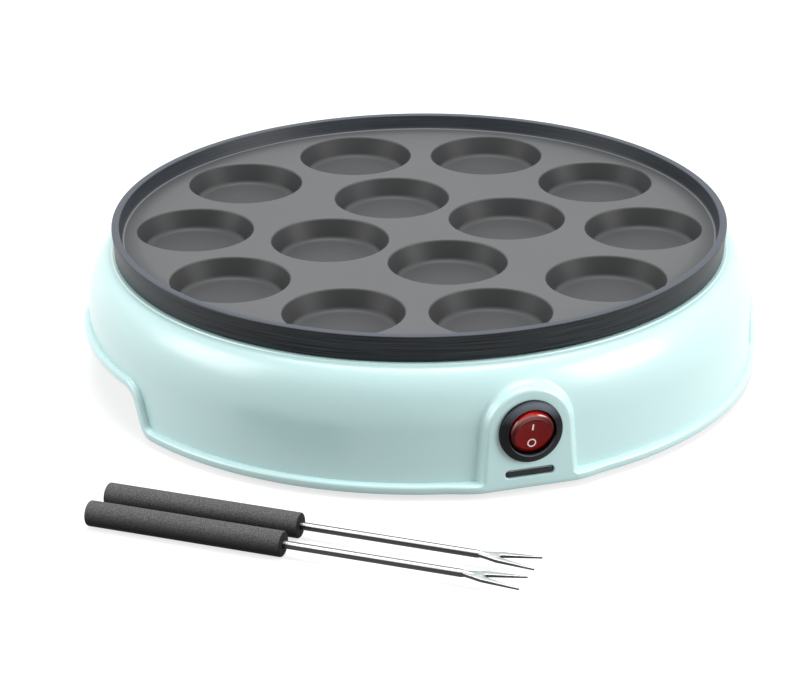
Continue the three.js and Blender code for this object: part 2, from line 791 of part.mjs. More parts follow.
function heatingElement() {
  const start = rearAngle + elementGapAngle;
  const sweep = 360 - 2 * elementGapAngle;
  const bendAngle = THREE.MathUtils.radToDeg(elementBend / elementRing);
  const easing = 1 - Math.SQRT1_2;
  const down = (angle, side) => [
    onCircle(elementRing, angle, elementFootZ),
    onCircle(elementRing, angle, (elementFootZ + elementZ - elementBend) / 2),
    onCircle(elementRing, angle, elementZ - elementBend),
    onCircle(elementRing, angle + side * bendAngle * easing, elementZ - elementBend * easing),
  ];
  const ring = Array.from({ length: elementArcPoints + 1 }, (_, index) => (
    onCircle(elementRing, start + bendAngle + ((sweep - 2 * bendAngle) * index) / elementArcPoints, elementZ)
  ));
  const route = [...down(start, 1), ...ring, ...down(start + sweep, -1).reverse()];
  return wire(route, elementRadius, elementSides, elementSteps);
}

function elementPin() {
  return turned([
    [0, -pinLength],
    [pinRadius, -pinLength],
    [pinRadius, -pinBeadHeight],
    [pinBeadRadius, -pinBeadHeight],
    [pinBeadRadius, 0],
    [0, 0],
  ], smallSides);
}

function elementClamp() {
  const strip = bar([clampInner, clampOuter], [-clampHalfWidth, clampHalfWidth], [-clampSheet, 0]);
  const hole = rod(screwHole, -clampSheet - overrun, overrun, smallSides).translate(clampRing, 0, 0);
  return geometryOf(cutBy(solid(strip), [solid(hole)]));
}

function thermostat() {
  const body = turned([
    [0, thermostatFootZ],
    [thermostatRadius, thermostatFootZ],
    [thermostatRadius, capTopZ - capHeight],
    [capRadius, capTopZ - capHeight],
    [capRadius, capTopZ],
    [0, capTopZ],
  ], postSides);
  const tab = (side) => bar(
    [side * tabOffset - tabThickness / 2, side * tabOffset + tabThickness / 2],
    [-tabWidth / 2, tabWidth / 2],
    [tabFootZ, thermostatFootZ + capHeight],
  );
  return joined([body, tab(-1), tab(1)].map(solid));
}

function thermostatStrap() {
  const strip = bar([-strapEnd, strapEnd], [-strapHalfWidth, strapHalfWidth], [-strapSheet, 0]);
  const eye = rod(strapEyeRadius, -strapSheet, 0, postSides);
  const hole = (radius) => rod(radius, -strapSheet - overrun, overrun, postSides);
  return geometryOf(cutBy(joined([strip, eye].map(solid)), [
    hole(thermostatRadius + seatGap),
    hole(screwHole).translate(strapRing, 0, 0),
    hole(screwHole).translate(-strapRing, 0, 0),
  ].map(solid)));
}

function capsule(radius, halfLength, sides) {
  return turned([
    [0, -halfLength],
    [radius / 2, -halfLength],
    [radius, radius / 2 - halfLength],
    [radius, halfLength - radius / 2],
    [radius / 2, halfLength],
    [0, halfLength],
  ], sides);
}

// An omega clip round the fuse, flat against the shield on one side
function fuseClip() {
  const inner = fuseRadius + seatGap;
  const outer = inner + clipSheet;
  const arc = (radius) => Array.from({ length: clipSides + 1 }, (_, index) => {
    const angle = -Math.PI + (Math.PI * index) / clipSides;
    return [radius * Math.cos(angle), radius * Math.sin(angle)];
  });
  const top = fuseRadius;
  const outline = [
    [-outer, top],
    ...arc(outer),
    [outer, top - clipSheet],
    [outer + clipEar, top - clipSheet],
    [outer + clipEar, top],
    [inner, top],
    ...arc(inner).reverse(),
    [-inner, top],
  ];
  const strip = solid(prism(outline, -clipHalfWidth, clipHalfWidth).rotateX(quarterTurn));
  const hole = rod(screwHole, -fuseRadius, fuseRadius + overrun, smallSides).translate(clipScrewOffset, 0, 0);
  return geometryOf(cutBy(strip, [solid(hole)]));
}

function switchBody() {
  const shell = solid(turned([
    [0, -switchDepth],
    [switchRadius, -switchDepth],
    [switchRadius, seatGap],
    [bezelRadius, seatGap],
    [bezelRadius, bezelProud - bezelStep],
    [bezelRadius - bezelRound, bezelProud - bezelRound / 2],
    [bezelRadius - 2 * bezelRound, bezelProud],
    [switchWellRadius, bezelProud],
    [switchWellRadius, -switchWellDepth],
    [switchChamberRadius, -switchWellDepth],
    [switchChamberRadius, switchBack - switchDepth],
    [0, switchBack - switchDepth],
  ], switchSides));
  const pinHole = rod(rockerPinHole, -rockerPinHoleReach, rockerPinHoleReach, smallSides);
  const slot = (up) => bar(
    [-bladeHalfWidth - bladeSlotPlay, bladeHalfWidth + bladeSlotPlay],
    [up - bladeThickness / 2 - bladeSlotPlay, up + bladeThickness / 2 + bladeSlotPlay],
    [-switchDepth - overrun, switchBack - switchDepth + overrun],
  );
  return cutBy(shell, [
    pinHole.rotateY(quarterTurn).translate(0, 0, rockerPivot),
    slot(-bladeSpread),
    slot(0),
    slot(bladeSpread),
  ].map(solid));
}

// The rocker midway between on and off, with its pivot at the origin
function rocker() {
  const edge = Math.sqrt(rockerRadius ** 2 - rockerEdgeRise ** 2);
  const valley = rockerEdgeRise - rockerDish;
  const reach = rockerRadius + overrun;
  const across = new THREE.Matrix4().makeBasis(
    new THREE.Vector3(0, 1, 0), new THREE.Vector3(0, 0, 1), new THREE.Vector3(1, 0, 0),
  );
  const ups = Array.from({ length: rockerDishSteps + 1 }, (_, index) => (edge * index) / rockerDishSteps);
  const dish = [...ups, reach].map((up) => [up, valley + rockerDish * (up / edge) ** 2]);
  const faces = (drop) => prism([
    [-reach, -rockerDepth],
    [reach, -rockerDepth],
    ...dish.toReversed().map(([up, rise]) => [up, rise - drop]),
    ...dish.slice(1).map(([up, rise]) => [-up, rise - drop]),
  ], -reach, reach).applyMatrix4(across);
  const ball = (radius) => solid(
    new THREE.SphereGeometry(radius, switchSides, rockerSphereRings).rotateX(quarterTurn),
  );
  const cap = ball(rockerRadius).intersect(solid(faces(0)));
  const open = bar([-reach, reach], [-reach, reach], [-rockerDepth - overrun, -rockerDepth + overrun]);
  const cavity = ball(rockerCavityRadius).intersect(solid(faces(rockerSkin)).add(solid(open)));
  const stem = solid(rod(rockerStemRadius, -rockerStemFoot, valley - rockerSkin / 2, smallSides));
  const stemBore = solid(rod(plungerBore, -rockerStemFoot - overrun, -plungerTop + seatGap, smallSides));
  const pins = solid(rod(rockerPinRadius, -rockerPinReach, rockerPinReach, smallSides).rotateY(quarterTurn));
  const trunnions = pins.subtract(ball(rockerCavityRadius));
  return joined([cutBy(cap, [cavity]), stem, trunnions]).subtract(stemBore);
}

function switchBlade(up, top) {
  return bar(
    [-bladeHalfWidth, bladeHalfWidth],
    [up - bladeThickness / 2, up + bladeThickness / 2],
    [-bladeReach, -top],
  );
}

function pilotLens() {
  const plate = prism(slotOutline(lensPlay), -panelFace - seatGap, lensProud);
  const flange = bar(
    [-slotHalfLength - lensFlangeHeight, slotHalfLength + lensFlangeHeight],
    [-slotHalfHeight - lensFlangeHeight / 2, slotHalfHeight + lensFlangeHeight / 2],
    [-lensFlangeBack, -panelFace - seatGap],
  );
  return geometryOf(joined([plate, flange].map(solid)));
}

// The gland's bore runs along z, which points out of the rear wall
function cordGland() {
  return turnedRing([
    [glandBore, glandInner - glandCollar],
    [glandFlangeRadius - glandCollar / 2, glandInner - glandCollar],
    [glandFlangeRadius - glandCollar / 2, glandInner],
    [glandNeckRadius, glandInner],
    [glandNeckRadius, seatGap],
    [glandFlangeRadius, seatGap],
    [glandFlangeRadius, seatGap + glandFlange],
    [glandTailRadius, seatGap + glandFlange],
    [glandTailRadius - glandCollar / 4, glandTail],
    [glandBore, glandTail],
  ], pitSides);
}

function terminalBlock() {
  const body = bar([-blockHalfX, blockHalfX], [-blockHalfY, blockHalfY], [0, blockHeight]);
  const screwWay = rod(screwHole, -overrun, blockHeight + overrun, smallSides);
  const poleHole = (x) => rod(blockPoleHole, -overrun, blockPoleDepth, smallSides)
    .rotateX(-quarterTurn).translate(x, -blockHalfY, blockHeight / 2);
  const poles = [blockLampPole, blockNeutralPole, blockLivePole];
  return geometryOf(cutBy(solid(body), [screwWay, ...poles.map(poleHole)].map(solid)));
}

// A lead through its points, from one end to the other
function lead(points) {
  return wire(points, leadRadius, wireSides, leadSteps);
}

function forkHandle() {
  return geometryOf(cutBy(solid(turned([
    [0, 0],
    [forkHandleRadius - forkHandleRound, 0],
    [forkHandleRadius, forkHandleRound],
    [forkHandleRadius, forkHandleLength - forkHandleRound],
    [forkHandleRadius - forkHandleRound, forkHandleLength],
    [0, forkHandleLength],
  ], postSides)), [solid(rod(
    forkRodRadius + seatGap, forkHandleLength - forkSocketDepth, forkHandleLength + overrun, smallSides,
  ))]));
}

// The rod flattens into a neck that opens into two tines, drawn across x with z along the fork
function forkTines() {
  const tineFoot = forkLength - forkTineLength;
  const neckFoot = tineFoot - forkNeckLength;
  const rodFoot = forkHandleLength - forkSocketDepth + seatGap;
  const stock = rod(forkRodRadius, rodFoot, neckFoot + forkRodRadius, smallSides);
  const crotch = tineFoot + forkSlotHalf;
  const outline = [
    [-forkRodRadius, neckFoot],
    [forkRodRadius, neckFoot],
    [forkRootHalf, tineFoot],
    [forkHalfWidth, forkLength],
    [forkHalfWidth - forkTipWidth, forkLength],
    [forkSlotHalf, crotch],
    [0, tineFoot],
    [-forkSlotHalf, crotch],
    [forkTipWidth - forkHalfWidth, forkLength],
    [-forkHalfWidth, forkLength],
    [-forkRootHalf, tineFoot],
  ];
  const blade = prism(outline, -forkTineThickness / 2, forkTineThickness / 2).rotateX(quarterTurn);
  return geometryOf(joined([stock, blade].map(solid)));
}

// Base: housing, cover, feet and gland
function addBase() {
  addPart("housing", geometryOf(housing()), mintPlastic);
  addPart("bottom_cover", geometryOf(bottomCover()), coverPlastic);
  const foot = turned([
    [0, tableZ],
    [footSoleRadius, tableZ],
    [footRadius, -seatGap],
    [footNeckRadius, -seatGap],
    [footNeckRadius, coverThickness + seatGap],
    [footBarbRadius, coverThickness + seatGap],
    [footTipRadius, coverThickness + seatGap + footBarbHeight],
    [0, coverThickness + seatGap + footBarbHeight],
  ], postSides);
  footAngles.forEach((angle, index) => {
    addPart(`foot_${index + 1}`, foot, blackRubber).position.copy(onCircle(footRing, angle));
  });
  const screw = screwGeometry(screwLong);
  coverScrewAngles.forEach((angle, index) => {
    addPart(`cover_screw_${index + 1}`, screw, steel).position.copy(onCircle(postRing, angle, -seatGap));
  });
  const gland = addPart("cord_gland", cordGland(), blackPlastic);
  gland.position.set(0, housingRadius, glandZ);
  gland.rotation.x = -quarterTurn;
}

// Plate with its element, clamps, shield and thermostat
function addHotplate() {
  addPart("cooking_plate", geometryOf(cookingPlate()), nonstick);
  addPart("heating_element", heatingElement(), sheathSteel);
  addPart("heat_shield", geometryOf(heatShield()), shieldSteel);
  const plateScrewZ = lugTopZ - lugThickness - seatGap;
  lugAngles.forEach((angle, index) => {
    addPart(`plate_screw_${index + 1}`, screwGeometry(screwLong), steel)
      .position.copy(onCircle(lugRing, angle, plateScrewZ));
  });
  const pinSides = { element_pin_right: -1, element_pin_left: 1 };
  for (const [name, side] of Object.entries(pinSides)) {
    addPart(name, elementPin(), steel)
      .position.copy(onCircle(elementRing, rearAngle + side * elementGapAngle, elementFootZ - seatGap));
  }
  const clamp = elementClamp();
  const clampScrew = screwGeometry(screwShort);
  clampAngles.forEach((angle, index) => {
    const strip = addPart(`element_clamp_${index + 1}`, clamp, steel);
    strip.position.z = clampTopZ;
    strip.rotation.z = rad(angle);
    addPart(`clamp_screw_${index + 1}`, clampScrew, steel)
      .position.copy(onCircle(clampRing, angle, clampTopZ - clampSheet - seatGap));
  });
  addPart("thermostat", geometryOf(thermostat()), blackPlastic);
  const strap = addPart("thermostat_strap", thermostatStrap(), steel);
  strap.position.z = strapTopZ;
  strap.rotation.z = rad(strapAngles[0]);
  strapAngles.forEach((angle, index) => {
    addPart(`strap_screw_${index + 1}`, clampScrew, steel)
      .position.copy(onCircle(strapRing, angle, strapTopZ - strapSheet - seatGap));
  });
}

// Rocker switch on the panel
function addSwitch() {
  const panel = new THREE.Group();
  panel.position.set(0, panelY, switchZ);
  panel.rotation.x = quarterTurn;
  maker.add(panel);
  addPart("switch_body", geometryOf(switchBody()), blackPlastic, panel);
  addPart("common_blade", switchBlade(0, commonBladeTop), brass, panel);
  addPart("load_blade", switchBlade(-bladeSpread, loadBladeTop), brass, panel);
  addPart("lamp_blade", switchBlade(bladeSpread, lampBladeTop), brass, panel);

  const tilting = new THREE.Group();
  tilting.position.z = rockerPivot;
  tilting.rotation.x = rad(rockerHalfSwing);
  panel.add(tilting);
  addPart("switch_rocker", geometryOf(rocker()), redPlastic, tilting);
  addPart("rocker_plunger", rod(plungerRadius, -plungerReach, -plungerTop, smallSides), steel, tilting);
  const bulb = capsule(rockerLampRadius, rockerLampHalf, smallSides);
  const lamp = addPart("rocker_lamp", bulb, lampGlass, tilting);
  lamp.position.set(0, rockerLampUp, -rockerLampDepth);
  lamp.rotation.y = quarterTurn;

  const arm = addPart("contact_arm", bar(
    [-armHalfWidth, armHalfWidth],
    [-armHalfLength, armHalfLength],
    [-armThickness / 2, armThickness / 2],
  ), brass, panel);
  arm.position.z = -armDepth;
  arm.rotation.x = rad(-armHalfSwing);
}

function addPilot() {
  const panel = new THREE.Group();
  panel.position.set(0, panelY, lensZ);
  panel.rotation.x = quarterTurn;
  maker.add(panel);
  addPart("pilot_lens", pilotLens(), smokedLens, panel);
  const lamp = addPart("pilot_lamp", capsule(pilotLampRadius, pilotLampHalf, smallSides), lampGlass, panel);
  lamp.position.z = -pilotLampDepth;
  lamp.rotation.y = quarterTurn;
}

// Terminal block, fuse and leads under the shield
function addWiring() {
  const block = addPart("terminal_block", terminalBlock(), ceramic);
  block.position.set(0, blockY, blockFootZ);
  const blockScrew = addPart("block_screw", screwGeometry(screwLong), steel);
  blockScrew.position.set(0, blockY, blockFootZ + blockHeight + seatGap);
  blockScrew.rotation.x = Math.PI;

  const fuse = addPart("thermal_fuse", capsule(fuseRadius, fuseHalfLength, smallSides), shieldSteel);
  fuse.position.set(fuseX, fuseY, fuseZ);
  fuse.rotation.x = quarterTurn;
  addPart("fuse_clip", fuseClip(), steel).position.set(fuseX, fuseY, fuseZ);
  const clipFaceZ = fuseZ + fuseRadius - clipSheet;
  addPart("clip_screw", screwGeometry(screwShort / 2), steel)
    .position.set(fuseX + clipScrewOffset, fuseY, clipFaceZ - seatGap);
  const tagTopZ = shieldPanZ - seatGap;
  addPart("earth_screw", screwGeometry(screwShort / 2), steel)
    .position.set(0, earthY, tagTopZ - tagSheet - seatGap);

  const at = (x, y, z) => new THREE.Vector3(x, y, z);
  const bladeY = panelY + bladeReach + seatGap;
  const pinFoot = (side) => onCircle(
    elementRing, rearAngle + side * elementGapAngle, elementFootZ - pinLength - 2 * seatGap,
  );
  const below = (point, drop) => at(point.x, point.y, point.z - drop);
  const poleAt = (x) => at(x, blockFaceY - seatGap, blockPoleZ);
  const poleOut = (x) => at(x, blockFaceY - leadDip, blockPoleZ);
  const blade = (up) => at(0, bladeY, switchZ + up);
  const bladeOut = (up) => at(0, bladeY + leadDip, switchZ + up);
  const tabEnd = (side) => at(side * tabOffset, 0, tabFootZ - seatGap);
  const inside = (shares, z) => at(shares[0] * plateRadius, shares[1] * plateRadius, z);
  const fuseEnd = (side) => at(fuseX, fuseY + side * (fuseHalfLength + seatGap), fuseZ);
  const fuseOut = (side) => at(fuseX, fuseY + side * (fuseHalfLength + leadDip), fuseZ);

  addPart("lead_live", lead([
    poleAt(blockLivePole), poleOut(blockLivePole), inside(liveShares[0], leadMidZ),
    inside(liveShares[1], leadMidZ), inside(liveShares[2], leadMidZ + leadDip), bladeOut(0), blade(0),
  ]), leadBrown);
  addPart("lead_switched", lead([
    blade(-bladeSpread), bladeOut(-bladeSpread), inside(switchedShares[0], leadMidZ),
    inside(switchedShares[1], leadLowZ), below(tabEnd(-1), 2 * leadDip), tabEnd(-1),
  ]), leadBrown);
  addPart("lead_limiter", lead([
    tabEnd(1), below(tabEnd(1), leadDip), inside(limiterShares, fuseZ - leadDip), fuseOut(-1), fuseEnd(-1),
  ]), leadCover);
  addPart("lead_element", lead([
    fuseEnd(1), fuseOut(1), inside(elementLeadShares, leadMidZ), below(pinFoot(-1), leadDip), pinFoot(-1),
  ]), leadCover);
  addPart("lead_neutral", lead([
    poleAt(blockNeutralPole), poleOut(blockNeutralPole), inside(neutralShares, leadLowZ),
    below(pinFoot(1), leadDip / 2), pinFoot(1),
  ]), leadBlue);
  addPart("lead_rocker_lamp", lead([
    poleAt(blockLampPole), poleOut(blockLampPole), inside(rockerLampShares[0], leadMidZ),
    inside(rockerLampShares[1], leadMidZ), inside(rockerLampShares[2], leadMidZ + leadDip),
    bladeOut(bladeSpread), blade(bladeSpread),
  ]), leadBlue);

  const eye = solid(rod(tagRadius, tagTopZ - tagSheet, tagTopZ, smallSides).translate(0, earthY, 0));
  const tongue = solid(bar(
    [-tagHalfWidth, tagHalfWidth], [earthY, earthY + tagTongue], [tagTopZ - tagSheet, tagTopZ],
  ));
  const earthWire = solid(lead([
    poleAt(0),
    at(0, blockFaceY - 3 * seatGap, blockPoleZ),
    at(0, blockFaceY - leadDip, (blockPoleZ + tagTopZ) / 2),
    at(0, earthY + tagTongue, tagTopZ - tagSheet - leadRadius),
    at(0, earthY + tagTongue - 2 * leadRadius, tagTopZ - tagSheet - leadRadius / 2),
  ]));
  const tagHole = solid(rod(
    screwHole, tagTopZ - tagSheet - overrun, tagTopZ + overrun, smallSides,
  ).translate(0, earthY, 0));
  addPart("lead_earth", geometryOf(joined([eye, tongue, earthWire]).subtract(tagHole)), leadGreen);

  const lampY = panelY + pilotLampDepth;
  const lampEnd = (side) => at(side * (pilotLampHalf + seatGap), lampY, lensZ);
  const lampOut = (side) => at(side * (pilotLampHalf + leadDip), lampY, lensZ);
  const bladeSide = (side, up) => at(side * (bladeHalfWidth + seatGap), bladeY - leadDip, switchZ + up);
  const bladeSideOut = (side, up) => at(side * (bladeHalfWidth + leadDip), bladeY - leadDip, switchZ + up);
  addPart("lead_pilot_live", lead([
    lampEnd(1), lampOut(1), inside(pilotLiveShares, lensZ + leadDip),
    bladeSideOut(1, -bladeSpread), bladeSide(1, -bladeSpread),
  ]), leadBrown);
  addPart("lead_pilot_neutral", lead([
    lampEnd(-1), lampOut(-1), inside(pilotNeutralShares[0], lensZ + leadDip),
    inside(pilotNeutralShares[1], switchZ), bladeSideOut(-1, bladeSpread), bladeSide(-1, bladeSpread),
  ]), leadBlue);
}

// Two loose forks on the table
function addForks() {
  const handle = forkHandle();
  const tines = forkTines();
  for (const [name, [x, y]] of Object.entries(forkEnds)) {
    const fork = new THREE.Group();
    fork.position.set(x, y, tableZ + forkLift + forkHandleRadius);
    fork.rotation.set(0, quarterTurn, rad(forkHeading), "ZYX");
    maker.add(fork);
    addPart(`${name}_handle`, handle, forkGrip, fork);
    addPart(`${name}_tines`, tines, steel, fork).rotation.z = quarterTurn;
  }
}

addBase();
addHotplate();
addSwitch();
addPilot();
addWiring();
addForks();

export default maker;
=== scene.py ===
"""Dresses the mini pancake maker: pieces for what shows, finishes for the rest, and the stage."""

import json
from math import asin, atan2, copysign, cos, hypot, pi, radians, sin, sqrt, tan, tau

import bmesh
import bpy
from mathutils import Matrix, Vector


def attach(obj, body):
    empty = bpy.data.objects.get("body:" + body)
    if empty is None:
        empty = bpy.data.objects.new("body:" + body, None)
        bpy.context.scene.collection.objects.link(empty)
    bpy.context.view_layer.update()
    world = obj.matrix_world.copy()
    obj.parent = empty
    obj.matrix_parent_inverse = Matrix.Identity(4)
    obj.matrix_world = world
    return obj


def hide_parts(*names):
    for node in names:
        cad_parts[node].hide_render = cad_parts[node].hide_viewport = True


bl_info = {
    "name": "Mini Pancake Maker",
    "version": (1, 0, 0),
    "blender": (4, 5, 0),
    "location": "View3D > Sidebar > Pancake Maker",
    "description": "Builds and finishes a mini pancake maker with its two forks",
    "category": "Object",
}

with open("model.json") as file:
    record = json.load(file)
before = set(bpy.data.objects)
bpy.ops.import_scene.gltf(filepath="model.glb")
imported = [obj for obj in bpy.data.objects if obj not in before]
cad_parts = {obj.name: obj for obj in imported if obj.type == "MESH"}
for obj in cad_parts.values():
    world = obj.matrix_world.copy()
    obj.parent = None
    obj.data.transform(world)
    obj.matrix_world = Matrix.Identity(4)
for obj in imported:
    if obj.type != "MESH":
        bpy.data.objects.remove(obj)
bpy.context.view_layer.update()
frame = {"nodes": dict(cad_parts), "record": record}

# Pieces are drawn in millimetres and brought to metres when they are finished.
MM = 0.001

# Heights above the underside of the bottom cover
TABLE = -4.0
RIM_TOP = 53.0
PLATE_FOOT = 43.2
TRAY_UNDER = 44.2
LEDGE_TOP = 42.9
SHOULDER = 21.2
BEAD = 0.25
SWITCH = 20.2
LENS = 4.3
GLAND = 13.0

# Distances from the maker's axis
SHOULDER_RADIUS = 115.0
STEP_RADIUS = 114.9
LEDGE_RADIUS = 108.6
FOOT_RING = 112.5
SCREW_RING = 112.0
REAR = 124.2

# Depth of the step round the ledge, the plate's thickness under a pit, the gap at a piece's seat
STEP_DEPTH = 0.5
PIT_WALL = 2.6
SEAT_GAP = 0.3

# The panel's face, its thickness there, the hole in it, and the steps of its skirt and its edge
PANEL = -126.5
PANEL_FACE = 2.4
SWITCH_HOLE = 10.1
SKIRT_STEPS = 8
EDGE_STEPS = 6

# The rocker: its pivot in front of the panel, its ball's centre behind the pivot, its dished face,
# and the marks on the face
PIVOT = 0.7
BALL_BACK = 1.0
REST_TILT = 12.0
FACE_RADIUS = 6.3
FACE_RISE = 2.9
DISH_DEPTH = 0.5
MARK_PROUD = 0.03
MARK_SUNK = 0.2
ON_UP = 2.8
OFF_UP = -3.75

# The rolled edge: its rounded top, its bends at a notch, how far from the panel it fades in, and
# how far it lies behind the panel's face where it runs flush
LIP_CROWN = 1.4
NOTCH_BEND = 6.4
NOTCH_FLARE = 3.6
LIP_FADE = 0.11
FLUSH = 0.03

OUTER_PITS = [(83.904, -90 + 36 * index) for index in range(10)]
INNER_PITS = [(34.7, -90 + 90 * index) for index in range(4)]
FOOT_ANGLES = (-135, -45, 45, 135)
SCREW_ANGLES = (-118, -62, 62, 118)

FORKS = {"fork_front": (-150.3, -101.9), "fork_rear": (-141.1, -90.4)}
FORK_HEADING = -37.46
FORK_AXIS = (cos(radians(FORK_HEADING)), sin(radians(FORK_HEADING)), 0.0)
NECK_LENGTH = 7.0
ROD_IN_GRIP = 18.0

# Spans over which a finish changes, in metres: heights, distances from the axis or a centre,
# and lengths along the forks
LIP_HIGHLIGHT_SPAN = (0.0022, 0.0032)
LIP_FOOT_SHADE_SPAN = (-0.0014, 0.0003)
TRAY_SHADE_SPAN = (0.1035, 0.1098)
PIT_SHADE_SPAN = (0.0468, 0.0475)
PIT_FLOOR_SHADE_SPAN = (0.0406, 0.0416)
RIM_INSIDE_SPAN = (0.1100, 0.1107)
RIM_OUTSIDE_SPAN = (0.1125, 0.1130)
RIM_EDGE_SHEEN_SPAN = (0.0526, 0.0529)
CORNER_RADIUS = 0.1104
CORNER_HIGHLIGHT_SPAN = (0.0001, 0.0004)
BEZEL_SHEEN_SPAN = (-0.1282, -0.1276)
ROCKER_CENTRE = (0.0, -0.1288, 0.0192)
ROCKER_FACE_SPAN = (0.0062, 0.0065)
ROCKER_SHOULDER_SPAN = (0.0082, 0.0087)
ROCKER_RIGHT_SHADE_SPAN = (0.001, 0.0065)
NECK_SPAN = (0.076, 0.082)
FLOOR_SPAN = (0.6, 2.5)

# The camera stands round and above the plate's middle, and is turned a little away from it.
CAMERA_SIDE = -17.3635
CAMERA_RISE = 21.1984
CAMERA_ROLL = 0.436
CAMERA_PITCH = 2.3531
CAMERA_YAW = -0.3543
CAMERA_LENS = 144.84
CAMERA_SENSOR = 36.0
LIT_SPOT = (0.0, 0.0, 0.03)


# --- sizes and colours that a user would change ---

def size(name, description, default):
    return bpy.props.FloatProperty(
        name=name, description=description, default=default, min=0.0, precision=4,
        subtype="DISTANCE", unit="LENGTH")


def paint(name, description, default):
    return bpy.props.FloatVectorProperty(
        name=name, description=description, default=default, size=3, min=0.0, max=1.0,
        subtype="COLOR")


def power(name, description, default):
    return bpy.props.FloatProperty(name=name, description=description, default=default, min=0.0)


class PANCAKE_PG_plate(bpy.types.PropertyGroup):
    radius: size("Radius", "Outer radius of the cooking plate at its lip", 0.1148)
    tray: size("Tray depth", "Depth of the tray below the lip", 0.0054)
    pit_radius: size("Pit radius", "Radius of one pit at the tray", 0.0222)
    pit_foot: size("Pit floor radius", "Radius of one pit at its floor", 0.0182)
    pit_depth: size("Pit depth", "Depth of one pit below the tray", 0.0075)
    colour: paint("Coating", "Colour of the nonstick coating", (0.1, 0.102, 0.106))


class PANCAKE_PG_housing(bpy.types.PropertyGroup):
    radius: size("Wall radius", "Outer radius of the housing's wall", 0.1242)
    wall: size("Wall", "Thickness of the housing's wall", 0.0022)
    bead_proud: size("Bead width", "How far the rolled edge stands out of the wall", 0.0022)
    bead_height: size("Bead height", "Height of the rolled edge", 0.0035)
    notch_rise: size("Notch rise", "Height of a grip notch above the rolled edge", 0.0161)
    notch_top: size("Notch top", "Half width of a grip notch at its top", 0.0386)
    notch_foot: size("Notch foot", "Half width of a grip notch at its foot", 0.0448)
    arch: size("Panel arch radius", "Radius of the switch panel's arch", 0.0157)
    panel_foot: size("Panel half width", "Half width of the switch panel at its foot", 0.0173)
    colour: paint("Mint", "Colour of the moulded housing", (0.485, 0.69, 0.685))


class PANCAKE_PG_switch(bpy.types.PropertyGroup):
    bezel: size("Bezel radius", "Outer radius of the switch's bezel", 0.0115)
    proud: size("Bezel height", "How far the bezel stands out of the panel", 0.0025)
    ball: size("Rocker radius", "Radius of the rocker's ball", 0.00825)
    lens_length: size("Lens half length", "Half length of the pilot lens's slot", 0.0089)
    lens_height: size("Lens half height", "Half height of the pilot lens's slot", 0.0015)
    black: paint("Bezel", "Colour of the bezel", (0.008, 0.009, 0.0105))
    red: paint("Rocker", "Colour of the rocker", (0.38, 0.008, 0.006))
    mark: paint("Marks", "Colour of the marks on the rocker", (0.82, 0.72, 0.72))


class PANCAKE_PG_forks(bpy.types.PropertyGroup):
    length: size("Length", "Length of one fork", 0.1556)
    grip: size("Grip length", "Length of one grip", 0.0716)
    grip_radius: size("Grip radius", "Radius of one grip", 0.00445)
    rod_radius: size("Rod radius", "Radius of one rod", 0.0014)
    tines: size("Tine length", "Length of the tines", 0.014)
    spread: size("Tine half width", "Half width over the two tine tips", 0.0046)
    colour: paint("Grip", "Colour of the grips", (0.09, 0.09, 0.09))


class PANCAKE_PG_stage(bpy.types.PropertyGroup):
    distance: size("Camera distance", "From the middle of the plate's lip to the camera", 1.20476)
    key: power("Key light", "Power of the overhead light", 20.0)
    right: power("Right light", "Power of the right light", 17.5)
    left: power("Left light", "Power of the left light", 12.5)
    sky: power("Sky", "Strength of the even light all round", 0.42)
    colour: paint("Backdrop", "Colour of the floor and the backdrop", (1.0, 1.0, 1.0))


def settings(part):
    return getattr(bpy.context.scene, "pancake_" + part)


def sizes(part, *names):
    """Some of a part's sizes, in millimetres."""
    return [getattr(settings(part), name) / MM for name in names]


# --- shader nodes ---

def connect(socket, value):
    """Links an input to another node's output, or sets it to a number, a vector or a colour."""
    if isinstance(value, bpy.types.NodeSocket):
        socket.id_data.links.new(value, socket)
    elif socket.type == "RGBA":
        socket.default_value = (*value, 1.0)
    else:
        socket.default_value = value


def feed(node, **sockets):
    """Connects a node's inputs; a name has underscores for its spaces."""
    for name, value in sockets.items():
        connect(node.inputs[name.replace("_", " ")], value)
    return node


def add(tree, kind, *values, operation=None, **sockets):
    """A new shader node, with its first inputs connected in turn and others by name."""
    node = tree.nodes.new("ShaderNode" + kind)
    if operation:
        node.operation = operation
    for socket, value in zip(node.inputs, values):
        connect(socket, value)
    return feed(node, **sockets)


def calculated(tree, operation, *values):
    return add(tree, "Math", *values, operation=operation).outputs[0]


def product(tree, first, second):
    return calculated(tree, "MULTIPLY", first, second)


def vector(tree, operation, *values, **sockets):
    return add(tree, "VectorMath", *values, operation=operation, **sockets).outputs[0]


def measured(tree, operation, *vectors):
    """A number from vectors: a length, a distance or a dot product."""
    return add(tree, "VectorMath", *vectors, operation=operation).outputs["Value"]


def coordinate(tree, kind="Object"):
    return add(tree, "TexCoord").outputs[kind]


def split(tree, kind="Object"):
    """The X, Y and Z of a coordinate."""
    return add(tree, "SeparateXYZ", coordinate(tree, kind)).outputs


def remap(tree, value, low, high, start=0.3, end=0.7):
    """A value that goes from low to high while another goes from start to end."""
    return add(tree, "MapRange", value, start, end, low, high).outputs["Result"]


def rises(tree, value, span):
    """A mask that is 0 below a span and 1 above it."""
    return remap(tree, value, 0.0, 1.0, *span)


def falls(tree, value, span):
    """A mask that is 1 below a span and 0 above it."""
    return remap(tree, value, 1.0, 0.0, *span)


def mixed(tree, factor, first, second, kind="RGBA"):
    """A colour between two, or a number, by a factor that changes over the surface."""
    node = add(tree, "Mix")
    node.data_type = kind
    at, result = (6, 2) if kind == "RGBA" else (2, 0)
    for index, value in ((0, factor), (at, first), (at + 1, second)):
        connect(node.inputs[index], value)
    return node.outputs[result]


def tint(colour, factor):
    return tuple(min(1.0, channel * factor) for channel in colour)


